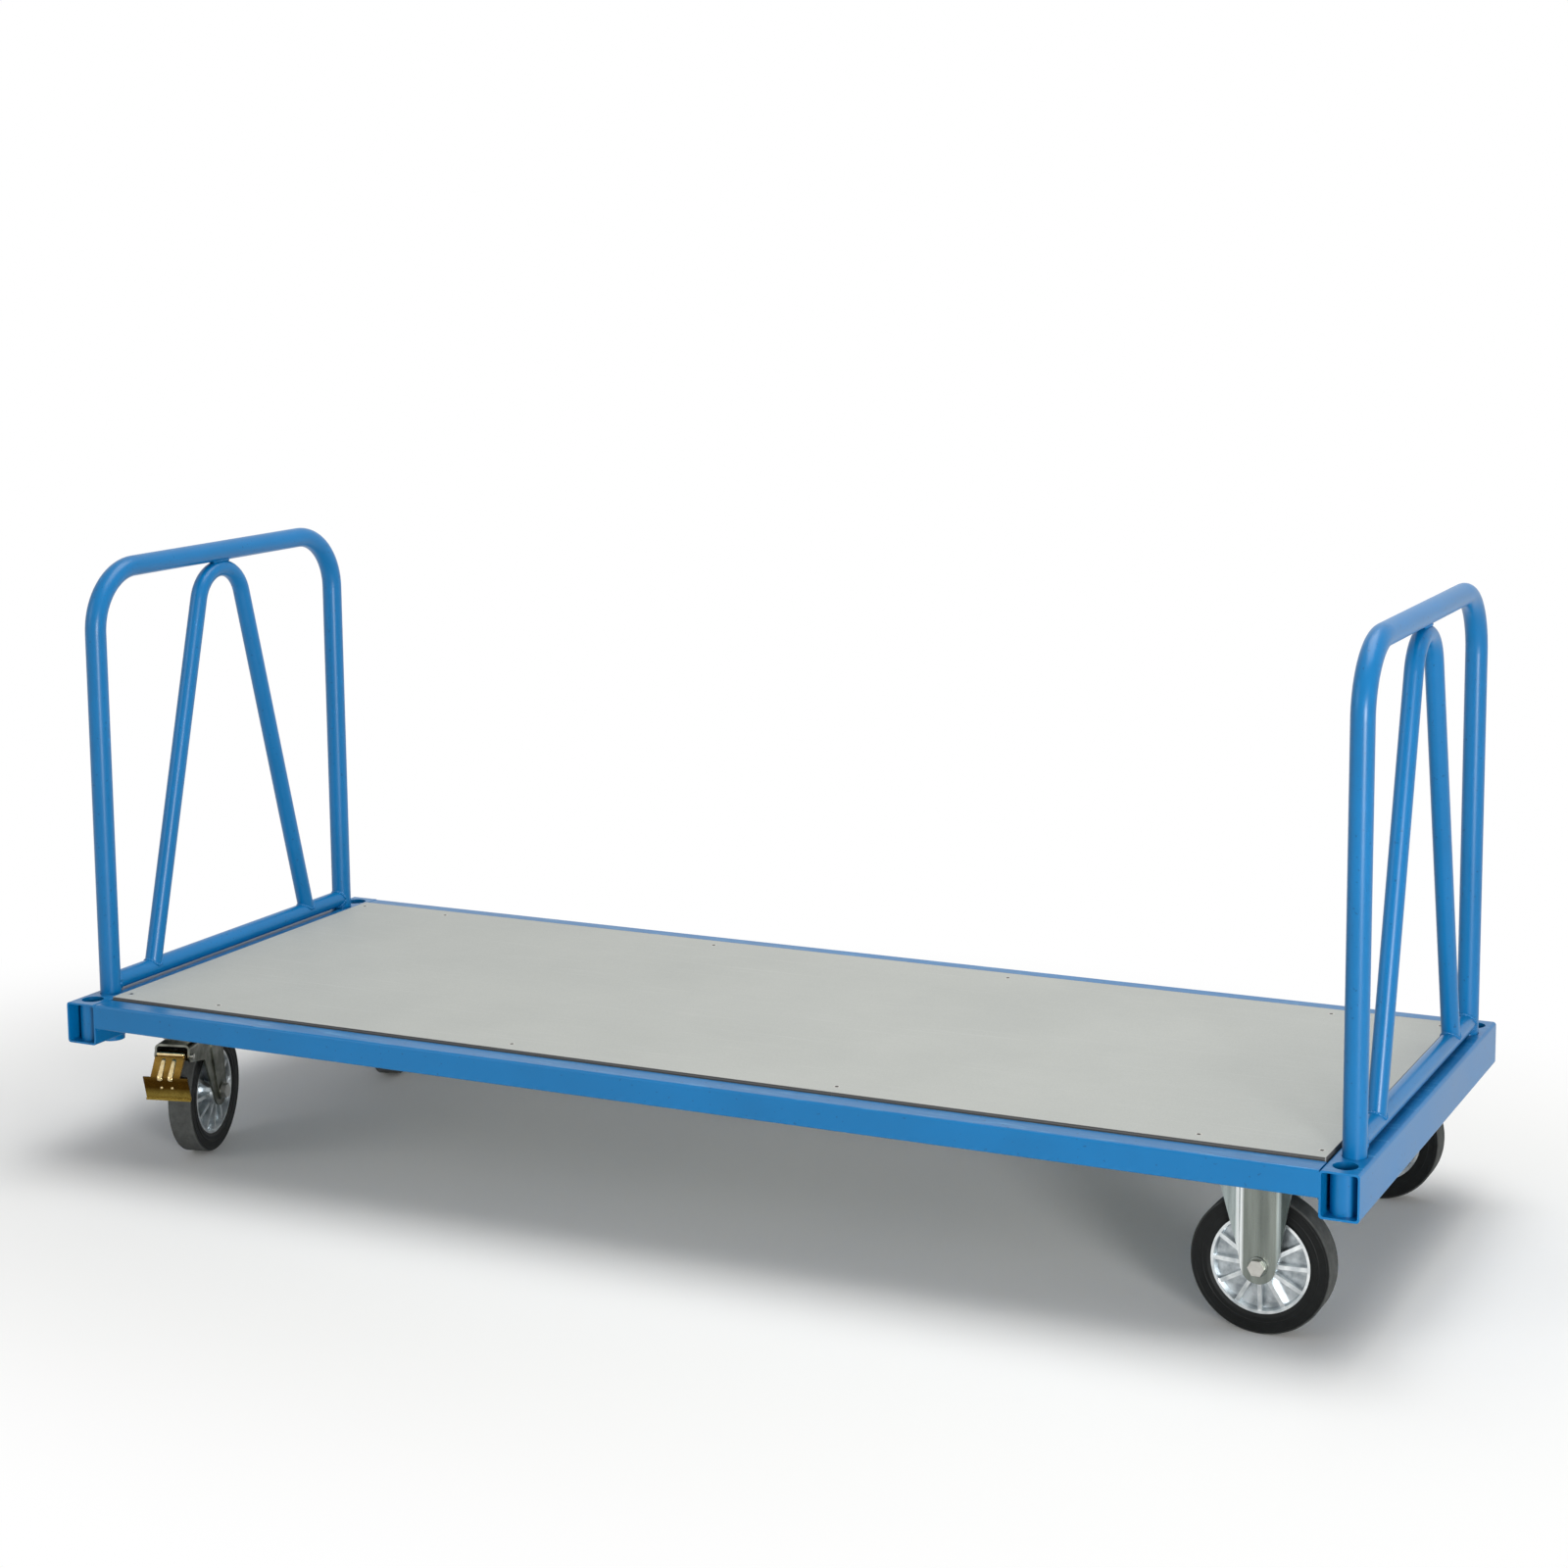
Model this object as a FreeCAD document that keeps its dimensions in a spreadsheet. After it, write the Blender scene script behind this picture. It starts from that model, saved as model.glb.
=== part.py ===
import FreeCAD, Part
import math
import os
import Sketcher
from FreeCAD import Placement, Rotation, Vector

# Long material cart: a welded frame of two end beams and two side rails round a coated deck board,
# two plug-in push bars, two fixed castors at the right end and two braked swivel castors at the left.
# Frame of the model: X along the deck, Y across it, Z up, origin on the floor under the deck's centre.
SIZES = (
    ("frame_length", 2144, "over the outer faces of the end beams"),
    ("frame_width", 806, "over the open ends of the end beams"),
    ("beam_top", 272, "top of the frame above the floor"),
    ("beam_height", 67, "end beam section"),
    ("beam_width", 56, "end beam section"),
    ("beam_wall", 3, "end beam section"),
    ("beam_corner", 5, "outer corner radius of the end beam"),
    ("rail_side", 40, "side rail, square tube"),
    ("rail_wall", 2.5, "side rail, square tube"),
    ("rail_corner", 4, "outer corner radius of the side rail"),
    ("cross_side", 30, "cross member, square tube"),
    ("cross_wall", 2, "cross member, square tube"),
    ("cross_corner", 3, "outer corner radius of the cross member"),
    ("deck_thickness", 14, "deck board"),
    ("deck_step", 4, "deck board above the frame's top"),
    ("deck_gap", 2, "open joint round the deck board"),
    ("deck_corner", 3, "corner radius of the deck board in plan"),
    ("socket_radius", 20, "outside of the corner sockets and leg sleeves"),
    ("socket_wall", 2.5, "wall of the corner sockets and leg sleeves"),
    ("socket_inset", 30, "corner socket from the beam's open end"),
    ("leg_inset", 75.5, "push bar leg from the beam's open end"),
    ("sleeve_drop_left", 10, "leg sleeves below the left beam"),
    ("sleeve_drop_right", 4, "leg sleeves below the right beam"),
    ("stop_radius", 3, "stop pin under a push bar leg"),
    ("stop_height", 212, "axis of the stop pins above the floor"),
    ("bow_radius", 16.85, "outside of the push bar tube"),
    ("bow_wall", 2.6, "wall of the push bar tube"),
    ("bow_height", 695, "centre line of the top bar above the frame"),
    ("bow_bend", 100, "centre line radius of the two top bends"),
    ("bar_radius", 14.5, "outside of the lower cross bar"),
    ("bar_gap", 3, "cross bar above the beam"),
    ("brace_radius", 14, "outside of the V brace tube"),
    ("brace_wall", 2, "wall of the V brace and of the cross bar"),
    ("brace_bend", 61, "centre line radius of the brace's top bend"),
    ("brace_spread", 218, "foot of the brace from the middle"),
    ("brace_sink", 1.5, "weld depth of the brace into the top bar"),
    ("seat_gap", 0.3, "play under pieces that lift or turn"),
    ("castor_inset_left", 162, "swivel castor centre from the left end of the frame"),
    ("castor_inset_right", 158.5, "fixed castor centre from the right end of the frame"),
    ("castor_inset_y", 97, "castor centre from the side of the frame"),
    ("castor_height", 227, "top of the castor plates above the floor"),
    ("swivel_turn_near", 104, "trail direction of the near swivel castor"),
    ("swivel_turn_far", 292, "trail direction of the far swivel castor"),
    ("mount_thickness", 5, "castor mount plate under the frame"),
    ("mount_length", 204, "castor mount plate along the cart"),
    ("mount_width", 150, "castor mount plate across the cart"),
    ("mount_inset", 25, "castor mount plate from the side of the frame"),
    ("mount_corner", 12, "corner radius of the castor mount plate"),
    ("cross_offset", 87, "cross members either side of a castor"),
    ("plate_length", 140, "castor top plate along the cart"),
    ("plate_width", 110, "castor top plate across the cart"),
    ("plate_corner", 12, "corner radius of the castor top plate"),
    ("fixed_plate", 4, "thickness of the fixed castor plate"),
    ("swivel_plate", 5, "thickness of the swivel castor plate"),
    ("bolt_pitch_x", 120, "castor bolts along the cart"),
    ("bolt_pitch_y", 80, "castor bolts across the cart"),
    ("bolt_radius", 4, "castor bolt"),
    ("bolt_flats", 13, "castor bolt head and nut across flats"),
    ("bolt_length", 17.5, "castor bolt under its head"),
    ("bolt_head", 5.3, "castor bolt head height"),
    ("nut_height", 6.5, "castor nut height"),
    ("wheel_radius", 100, "tyre outside"),
    ("tyre_half", 20, "half the tyre's width"),
    ("tyre_side", 76, "radius at which the tyre reaches its full width"),
    ("tyre_shoulder", 3, "rounding of the tyre's edges"),
    ("rim_seat", 71, "rim radius under the tyre"),
    ("rim_bed", 67, "inner radius of the rim's bed"),
    ("rim_half", 18, "half the rim bed's width"),
    ("rim_draft", 2, "casting draft of the bed and the hub"),
    ("web_half", 8, "half the thickness of the rim's web"),
    ("rib_thickness", 6, "rim rib"),
    ("rib_count", 12, "rim ribs"),
    ("rib_outer", 16, "rib height at the bed, from the wheel's middle"),
    ("rib_inner", 21, "rib height at the hub, from the wheel's middle"),
    ("hub_radius", 22, "hub outside"),
    ("hub_half", 25.5, "half the hub's length"),
    ("bearing_radius", 17.5, "bearing outside"),
    ("bearing_width", 11, "bearing width"),
    ("bearing_race", 3, "radial depth of a bearing race"),
    ("bearing_recess", 0.8, "bearing shield behind its races"),
    ("axle_radius", 7.5, "axle bolt"),
    ("axle_play", 0.05, "running fit of bearings, kingpins and pedals"),
    ("axle_flats", 21, "axle bolt head and nut across flats"),
    ("axle_head", 9, "height of the axle bolt head"),
    ("axle_nut", 12, "height of the axle nut"),
    ("axle_end", 4, "axle thread beyond its nut"),
    ("fork_sheet", 3.5, "pressed fork steel"),
    ("fork_gap", 26.5, "inside of the fork from the wheel's middle"),
    ("band_half", 25, "half the raised band down the fixed fork's leg"),
    ("band_rise", 3, "height of the band over the root of the flanks"),
    ("band_slope", 5, "width of the slope beside the band"),
    ("bend_radius", 4, "radius of the fixed fork's pressed bends"),
    ("flank_rise", 18, "flare of the fixed fork's flanks out from their roots"),
    ("flank_half", 52, "half the fixed fork's width at its plate"),
    ("eye_radius", 25, "round end of the fixed fork"),
    ("trail", 60, "swivel axis to wheel axle"),
    ("crown_top", 210, "top of the swivel fork's crown"),
    ("crown_front", 58, "crown ahead of the swivel axis"),
    ("crown_back", 66, "crown behind the swivel axis"),
    ("leg_front", 0, "front edge of the swivel fork's leg behind the swivel axis"),
    ("leg_front_drop", 40, "depth of the swivel fork's front arm"),
    ("crown_bend", 8, "outer radius of the swivel fork's bends"),
    ("swivel_eye", 24, "round end of the swivel fork"),
    ("bead_radius", 15, "raised bead down the swivel fork's leg"),
    ("bead_rise", 2.5, "raised bead down the swivel fork's leg"),
    ("bead_top", 182, "upper end of the bead above the floor"),
    ("bead_offset", 40, "upper end of the bead behind the swivel axis"),
    ("cup_radius", 40, "swivel head outside"),
    ("cup_wall", 8, "swivel head ring"),
    ("cup_floor", 4, "floor of the swivel head"),
    ("cup_top", 220, "top of the swivel head ring"),
    ("race_radius", 31, "upper race under the swivel plate"),
    ("race_bottom", 216, "underside of the upper race"),
    ("kingpin_radius", 8, "kingpin"),
    ("kingpin_flats", 24, "kingpin nut across flats"),
    ("kingpin_nut", 8, "kingpin nut height"),
    ("pedal_sheet", 3, "brake pedal steel"),
    ("pedal_pin_x", 50, "pedal pin ahead of the swivel axis"),
    ("pedal_pin_z", 190, "pedal pin above the floor"),
    ("pedal_pin_radius", 4, "pedal pin"),
    ("pedal_barrel", 8, "rolled eye of the pedal"),
    ("pedal_ear", 10, "round end of the fork's front arm"),
    ("pedal_neck", 50, "width of the pedal's neck"),
    ("pedal_neck_x", 67, "knee of the neck ahead of the swivel axis"),
    ("pedal_neck_z", 192, "knee of the neck above the floor"),
    ("pedal_foot", 76, "width of the pedal's foot"),
    ("pedal_foot_x", 88, "foot plate ahead of the swivel axis"),
    ("pedal_lean", 15, "lean of the foot plate in towards the wheel"),
    ("pedal_foot_top", 164, "upper edge of the foot plate"),
    ("pedal_foot_low", 127, "where the foot plate starts to curl out"),
    ("pedal_lip", 1, "straight lip past the curl"),
    ("pedal_curl", 4, "outer radius of the foot plate's curl"),
    ("pedal_rib", 7, "width of a pressed rib"),
    ("pedal_rib_reach", 6, "pressed rib below the foot plate's upper edge"),
    ("pedal_rib_rise", 2.5, "height of a pressed rib"),
    ("pedal_rib_y", 9, "pressed rib from the pedal's middle"),
    ("shoe_reach", 41.3, "brake tongue ahead of the swivel axis"),
    ("shoe_top", 152, "upper side of the brake tongue"),
    ("shoe_low", 140, "lower side of the brake tongue"),
    ("shoe_width", 34, "width of the brake tongue"),
    ("screw_radius", 5, "deck screw head"),
    ("screw_shank", 2.2, "deck screw shank"),
    ("screw_depth", 3, "deck screw head"),
    ("screw_inset", 70, "deck screws from the side of the frame"),
)
HEXAGON = tuple((math.cos(math.radians(60 * k)), math.sin(math.radians(60 * k))) for k in range(6))
FLATS_TO_CORNER = 1 / math.sqrt(3)
OVERCUT = 20

doc = FreeCAD.newDocument("long_material_cart")
sheet = doc.addObject("Spreadsheet::Sheet", "sizes")


class Size:
    """A cell of the sheet, or a sum of cells: its number now and its expression."""

    def __init__(self, number, text):
        self.number = float(number)
        self.text = text

    def joined(self, other, sign, number):
        return Size(number, f"({self.text} {sign} {as_size(other).text})")

    def __add__(self, other):
        return self.joined(other, "+", self.number + as_size(other).number)

    def __sub__(self, other):
        return self.joined(other, "-", self.number - as_size(other).number)

    def __mul__(self, other):
        return self.joined(other, "*", self.number * as_size(other).number)

    def __truediv__(self, other):
        return self.joined(other, "/", self.number / as_size(other).number)

    def __neg__(self):
        return self * -1


def as_size(value):
    """A plain number as a Size."""
    return value if isinstance(value, Size) else Size(value, f"({value:.6f})")


class Cells:
    """The sheet's cells by their aliases."""


cell = Cells()
for row, (alias, value, meaning) in enumerate(SIZES, start=1):
    sheet.set(f"A{row}", meaning)
    sheet.set(f"B{row}", str(value))
    sheet.setAlias(f"B{row}", alias)
    setattr(cell, alias, Size(value, f"sizes.{alias}"))
doc.recompute()


def new_body(label):
    """An empty body whose label names its file."""
    body = doc.addObject("PartDesign::Body", label)
    body.Label = label
    return body


def place(thing, x, y, z, turn=None):
    """Puts a sub-part at x, y, z, turned about the vertical by an angle in degrees."""
    if turn is not None:
        thing.Placement = Placement(Vector(), Rotation(Vector(0, 0, 1), turn.number))
        thing.setExpression(".Placement.Rotation.Angle", turn.text)
    for axis, size in zip("xyz", (x, y, z)):
        thing.setExpression(f".Placement.Base.{axis}", as_size(size).text)
    return thing


def sketch_on(body, role, lift=None):
    """A sketch on one of the body's own origin planes, raised along that plane's normal."""
    plane = next(feature for feature in body.Origin.OriginFeatures if feature.Role == role)
    sketch = body.newObject("Sketcher::SketchObject", body.Label + "_sketch")
    sketch.AttachmentSupport = [(plane, "")]
    sketch.MapMode = "FlatFace"
    if lift is not None:
        sketch.setExpression(".AttachmentOffset.Base.z", as_size(lift).text)
    return sketch


def hold(sketch, size, kind, *where):
    """One dimension of a sketch, bound to the sheet."""
    index = sketch.addConstraint(Sketcher.Constraint(kind, *where, as_size(size).number))
    if isinstance(size, Size):
        sketch.setExpression(f"Constraints[{index}]", size.text)


def hold_point(sketch, edge, point, x, y):
    """Both coordinates of one point of a sketch."""
    hold(sketch, x, "DistanceX", -1, 1, edge, point)
    hold(sketch, y, "DistanceY", -1, 1, edge, point)


def circle(sketch, x, y, radius):
    """A full circle about x, y."""
    centre = Vector(as_size(x).number, as_size(y).number, 0)
    edge = sketch.addGeometry(Part.Circle(centre, Vector(0, 0, 1), as_size(radius).number))
    hold_point(sketch, edge, 3, x, y)
    hold(sketch, radius, "Radius", edge)


def run_between(start, end):
    """Ends of the straight run from one corner to the next, tangent to those that are round."""
    (x0, y0, r0), (x1, y1, r1) = start, end
    heading = math.atan2(y1 - y0, x1 - x0) - math.asin((r1 - r0) / math.hypot(x1 - x0, y1 - y0))
    left = Vector(-math.sin(heading), math.cos(heading), 0)
    return Vector(x0, y0, 0) - left * r0, Vector(x1, y1, 0) - left * r1


def angle_about(centre, point):
    return math.atan2(point.y - centre.y, point.x - centre.x)


def path(sketch, corners, closed=True):
    """Straight runs through sharp corners (x, y) and round ones (x, y, r). A round corner is an arc of
    radius r about x, y, tangent to its runs: positive where the path turns left, negative to the right."""
    spots = [tuple(as_size(size).number for size in (*corner, 0)[:3]) for corner in corners]
    count = len(corners)
    runs = [run_between(spots[k], spots[(k + 1) % count]) for k in range(count if closed else count - 1)]
    lines = [sketch.addGeometry(Part.LineSegment(*ends)) for ends in runs]
    for k, corner in enumerate(corners):
        before = lines[k - 1] if closed or k > 0 else None
        after = lines[k] if k < len(lines) else None
        if len(corner) == 2:
            if after is None:
                hold_point(sketch, before, 2, *corner)
            else:
                hold_point(sketch, after, 1, *corner)
            if before is not None and after is not None:
                sketch.addConstraint(Sketcher.Constraint("Coincident", before, 2, after, 1))
            continue
        x, y, radius = corner
        left_turn = spots[k][2] > 0
        centre = Vector(spots[k][0], spots[k][1], 0)
        arrive = angle_about(centre, runs[k - 1][1])
        leave = angle_about(centre, runs[k][0])
        first, last = (arrive, leave) if left_turn else (leave, arrive)
        if last < first:
            last += 2 * math.pi
        round_edge = Part.Circle(centre, Vector(0, 0, 1), abs(spots[k][2]))
        arc = sketch.addGeometry(Part.ArcOfCircle(round_edge, first, last))
        hold_point(sketch, arc, 3, x, y)
        hold(sketch, radius if left_turn else -radius, "Radius", arc)
        ends = (1, 2) if left_turn else (2, 1)
        sketch.addConstraint(Sketcher.Constraint("Tangent", before, 2, arc, ends[0]))
        sketch.addConstraint(Sketcher.Constraint("Tangent", arc, ends[1], after, 1))


def rectangle(sketch, half_x, half_y, corner=None):
    """A rectangle about the sketch's origin, with round corners where a radius is given."""
    signs = ((-1, -1), (1, -1), (1, 1), (-1, 1))
    if corner is None:
        path(sketch, [(half_x * a, half_y * b) for a, b in signs])
    else:
        path(sketch, [((half_x - corner) * a, (half_y - corner) * b, corner) for a, b in signs])


def hexagon(sketch, x, y, flats):
    """A hexagon about x, y, of a given size across its flats."""
    reach = flats * FLATS_TO_CORNER
    path(sketch, [(as_size(x) + reach * c, as_size(y) + reach * s) for c, s in HEXAGON])


def pad(sketch, length, symmetric=False, back=False):
    """Thickens a sketch along its normal, or both ways from it."""
    body = sketch.getParentGeoFeatureGroup()
    made = body.newObject("PartDesign::Pad", body.Label + "_pad")
    made.Profile = sketch
    made.setExpression("Length", as_size(length).text)
    made.SideType = "Symmetric" if symmetric else "One side"
    made.Reversed = back
    return made


def pocket(sketch, length=None, symmetric=False):
    """Cuts a sketch down from its plane, or right through, and makes sure that something went."""
    body = sketch.getParentGeoFeatureGroup()
    doc.recompute()
    before = body.Shape.Volume
    made = body.newObject("PartDesign::Pocket", body.Label + "_pocket")
    made.Profile = sketch
    made.SideType = "Symmetric" if symmetric else "One side"
    if length is None:
        made.Type = "ThroughAll"
    else:
        made.setExpression("Length", as_size(length).text)
    doc.recompute()
    if body.Shape.Volume >= before:
        raise RuntimeError(f"{made.Label} cuts nothing")
    return made


def revolve(sketch):
    """Turns a sketch about its own vertical axis."""
    body = sketch.getParentGeoFeatureGroup()
    made = body.newObject("PartDesign::Revolution", body.Label + "_revolution")
    made.Profile = sketch
    made.ReferenceAxis = (sketch, ["V_Axis"])
    made.Angle = 360
    return made


def pipe(profile, spine):
    """Carries a section along a spine."""
    body = profile.getParentGeoFeatureGroup()
    made = body.newObject("PartDesign::AdditivePipe", body.Label + "_pipe")
    made.Profile = profile
    made.Spine = spine
    return made


def round_uprights(body, radius, places):
    """Rounds the upright edges that stand at any of the given distances from the body's two axes."""
    doc.recompute()
    wanted = {(round(x.number, 3), round(y.number, 3)) for x, y in places}
    names = []
    for number, edge in enumerate(body.Shape.Edges, start=1):
        low, high = edge.Vertexes[0], edge.Vertexes[-1]
        upright = abs(low.X - high.X) + abs(low.Y - high.Y) < 0.001 < abs(low.Z - high.Z)
        if upright and (round(abs(low.X), 3), round(abs(low.Y), 3)) in wanted:
            names.append(f"Edge{number}")
    rounded = body.Tip
    made = body.newObject("PartDesign::Fillet", body.Label + "_fillet")
    made.Base = (rounded, names)
    made.setExpression("Radius", radius.text)
    doc.recompute()


def square_tube(label, half_x, half_z, wall, corner, length, role):
    """A box section drawn on one of the origin planes and run both ways along that plane's normal."""
    body = new_body(label)
    section = sketch_on(body, role)
    rectangle(section, half_x, half_z, corner)
    rectangle(section, half_x - wall, half_z - wall, corner - wall / 2)
    pad(section, length, symmetric=True)
    return body


def tube_group(label, centres, bottom, length):
    """Upright tubes of the socket size, one at each centre."""
    body = new_body(label)
    rings = sketch_on(body, "XY_Plane", bottom)
    for x, y in centres:
        circle(rings, x, y, cell.socket_radius)
        circle(rings, x, y, cell.socket_radius - cell.socket_wall)
    pad(rings, length)
    return body


half_length = cell.frame_length / 2
half_width = cell.frame_width / 2
beam_x = half_length - cell.beam_width / 2
beam_bottom = cell.beam_top - cell.beam_height
socket_y = half_width - cell.socket_inset
leg_y = half_width - cell.leg_inset
castor_x = {"left": cell.castor_inset_left - half_length, "right": half_length - cell.castor_inset_right}
castor_y = half_width - cell.castor_inset_y
ENDS = (("left", -1), ("right", 1))
SIDES = (("near", -1), ("far", 1))
BOLT_SIGNS = ((-1, -1), (1, -1), (1, 1), (-1, 1))


def end_beam(label, sign):
    """Box beam across the cart's end: sockets stop in its hollow, leg sleeves pass right through."""
    half_height = cell.beam_height / 2
    body = square_tube(label, cell.beam_width / 2, half_height, cell.beam_wall, cell.beam_corner,
                       cell.frame_width, "XZ_Plane")
    socket_holes = sketch_on(body, "XY_Plane", half_height)
    sleeve_holes = sketch_on(body, "XY_Plane", half_height)
    for _, side in SIDES:
        circle(socket_holes, 0, socket_y * side, cell.socket_radius)
        circle(sleeve_holes, 0, leg_y * side, cell.socket_radius)
    pocket(socket_holes, cell.beam_height / 2)
    pocket(sleeve_holes)
    return place(body, beam_x * sign, 0, cell.beam_top - half_height)


def side_rail(label, side):
    """Square tube along the cart's side, butt welded between the end beams."""
    half = cell.rail_side / 2
    body = square_tube(label, half, half, cell.rail_wall, cell.rail_corner,
                       cell.frame_length - cell.beam_width * 2, "YZ_Plane")
    return place(body, 0, (half_width - half) * side, cell.beam_top - half)


def cross_member(label, x):
    """Square tube under the deck, from rail to rail and level with their undersides."""
    half = cell.cross_side / 2
    body = square_tube(label, half, half, cell.cross_wall, cell.cross_corner,
                       cell.frame_width - cell.rail_side * 2, "XZ_Plane")
    return place(body, x, 0, cell.beam_top - cell.rail_side + half)


def bolt_circles(sketch, radius):
    """Four bolt places of a castor, about the castor's centre."""
    for a, b in BOLT_SIGNS:
        circle(sketch, cell.bolt_pitch_x / 2 * a, cell.bolt_pitch_y / 2 * b, radius)


def castor_mount(label, x, side):
    """Steel plate welded under a rail and two cross members, drilled for one castor."""
    body = new_body(label)
    blank = sketch_on(body, "XY_Plane")
    middle = cell.castor_inset_y - cell.mount_inset - cell.mount_width / 2
    half_x = cell.mount_length / 2 - cell.mount_corner
    half_y = cell.mount_width / 2 - cell.mount_corner
    path(blank, [(half_x * a, middle * side + half_y * b, cell.mount_corner) for a, b in BOLT_SIGNS])
    bolt_circles(blank, cell.bolt_radius)
    pad(blank, cell.mount_thickness)
    return place(body, x, castor_y * side, cell.castor_height)


def deck_board():
    """Coated board let in between the rails and beams, with a narrow open joint round it."""
    body = new_body("deck_board")
    blank = sketch_on(body, "XY_Plane")
    rectangle(blank, half_length - cell.beam_width - cell.deck_gap,
              half_width - cell.rail_side - cell.deck_gap, cell.deck_corner)
    for x, y in screw_places():
        circle(blank, x, y, cell.screw_shank)
    pad(blank, cell.deck_thickness)
    heads = sketch_on(body, "XY_Plane", cell.deck_thickness)
    for x, y in screw_places():
        circle(heads, x, y, cell.screw_radius)
    pocket(heads, cell.screw_depth)
    return place(body, 0, 0, cell.beam_top + cell.deck_step - cell.deck_thickness)


def cross_places():
    """Cross members either side of the castors, with two more shared out between them."""
    first = castor_x["left"] + cell.cross_offset
    last = castor_x["right"] - cell.cross_offset
    step = (last - first) / 3
    ends = [castor_x["left"] - cell.cross_offset, castor_x["right"] + cell.cross_offset]
    return [ends[0], first, first + step, last - step, last, ends[1]]


def screw_places():
    """Deck screws over the cross members, near each side."""
    y = half_width - cell.screw_inset
    return [(x, y * side) for x in cross_places() for _, side in SIDES]


def deck_screws():
    """Countersunk screws let in flush with the deck, down to the cross members."""
    body = new_body("deck_screws")
    heads = sketch_on(body, "XY_Plane")
    shanks = sketch_on(body, "XY_Plane")
    for x, y in screw_places():
        circle(heads, x, y, cell.screw_radius)
        circle(shanks, x, y, cell.screw_shank)
    pad(heads, cell.screw_depth, back=True)
    pad(shanks, cell.deck_thickness, back=True)
    return place(body, 0, 0, cell.beam_top + cell.deck_step)


def leg_sleeves(label, sign, drop):
    """Sleeve tubes for the push bar's two legs, let through the beam and cross drilled for the stop pins."""
    centres = [(0, leg_y * side) for _, side in SIDES]
    body = tube_group(label, centres, beam_bottom - drop, cell.beam_height + drop)
    drillings = sketch_on(body, "YZ_Plane")
    for _, side in SIDES:
        circle(drillings, leg_y * side, cell.stop_height, cell.stop_radius)
    pocket(drillings, symmetric=True)
    return place(body, beam_x * sign, 0, 0)


def stop_pins():
    """Pins across the leg sleeves, on which the push bars' legs stand."""
    body = new_body("leg_stop_pins")
    for _, sign in ENDS:
        ends = sketch_on(body, "YZ_Plane", beam_x * sign)
        for _, side in SIDES:
            circle(ends, leg_y * side, cell.stop_height, cell.stop_radius)
        pad(ends, cell.socket_radius * 2, symmetric=True)
    return body


def corner_sockets(label, sign):
    """Vacant sockets for stakes: tubes flush with the beam's top that stand on its lower flange."""
    body = tube_group(label, [(0, socket_y * side) for _, side in SIDES],
                      beam_bottom + cell.beam_wall, cell.beam_height - cell.beam_wall)
    return place(body, beam_x * sign, 0, 0)


def bent_tube(label, corners, radius, wall):
    """A round tube bent in the YZ plane along straight runs and tangent bends."""
    body = new_body(label)
    spine = sketch_on(body, "YZ_Plane")
    path(spine, corners, closed=False)
    section = body.newObject("Sketcher::SketchObject", label + "_section")
    section.AttachmentSupport = [(spine, "Edge1")]
    section.MapMode = "NormalToEdge"
    section.MapPathParameter = 0
    circle(section, 0, 0, radius)
    circle(section, 0, 0, radius - wall)
    pipe(section, spine)
    return body


bow_top = cell.beam_top + cell.bow_height
bar_z = cell.beam_top + cell.bar_gap + cell.bar_radius


def push_bow(label, sign):
    """Bent tube whose legs drop through the beam's sleeves on to the stop pins."""
    foot = cell.stop_height + cell.stop_radius + cell.seat_gap
    bend_y = leg_y - cell.bow_bend
    bend_z = bow_top - cell.bow_bend
    run = [(-leg_y, foot), (-bend_y, bend_z, -cell.bow_bend), (bend_y, bend_z, -cell.bow_bend), (leg_y, foot)]
    body = bent_tube(label, run, cell.bow_radius, cell.bow_wall)
    return place(body, beam_x * sign, 0, 0)


def push_crossbar(label, sign):
    """Lower tube between the legs, its ends coped to the legs' round."""
    body = new_body(label)
    section = sketch_on(body, "XZ_Plane")
    circle(section, 0, bar_z, cell.bar_radius)
    circle(section, 0, bar_z, cell.bar_radius - cell.brace_wall)
    pad(section, leg_y * 2, symmetric=True)
    copes = sketch_on(body, "XY_Plane", bar_z + cell.bar_radius)
    for _, side in SIDES:
        circle(copes, 0, leg_y * side, cell.bow_radius)
    pocket(copes)
    return place(body, beam_x * sign, 0, 0)


def push_brace(label, sign):
    """Tube bent to a V, its bend welded under the top bar and its feet coped to the cross bar."""
    foot = bar_z + (cell.bar_radius - cell.brace_radius) * 4
    bend_z = bow_top - cell.bow_radius - cell.brace_radius + cell.brace_sink - cell.brace_bend
    run = [(-cell.brace_spread, foot), (0, bend_z, -cell.brace_bend), (cell.brace_spread, foot)]
    body = bent_tube(label, run, cell.brace_radius, cell.brace_wall)
    copes = sketch_on(body, "XZ_Plane")
    circle(copes, 0, bar_z, cell.bar_radius)
    circle(copes, 0, bow_top, cell.bow_radius)
    pocket(copes, symmetric=True)
    return place(body, beam_x * sign, 0, 0)


def castor_places():
    """Centre of each castor, with the depth of its own plate."""
    plates = {"left": cell.swivel_plate, "right": cell.fixed_plate}
    return [(castor_x[end], castor_y * side, plates[end]) for end, _ in ENDS for _, side in SIDES]


def bolt_places():
    """Every castor bolt, with the depth of the plate that its nut pulls up."""
    return [(x + cell.bolt_pitch_x / 2 * a, y + cell.bolt_pitch_y / 2 * b, depth)
            for x, y, depth in castor_places() for a, b in BOLT_SIGNS]


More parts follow.
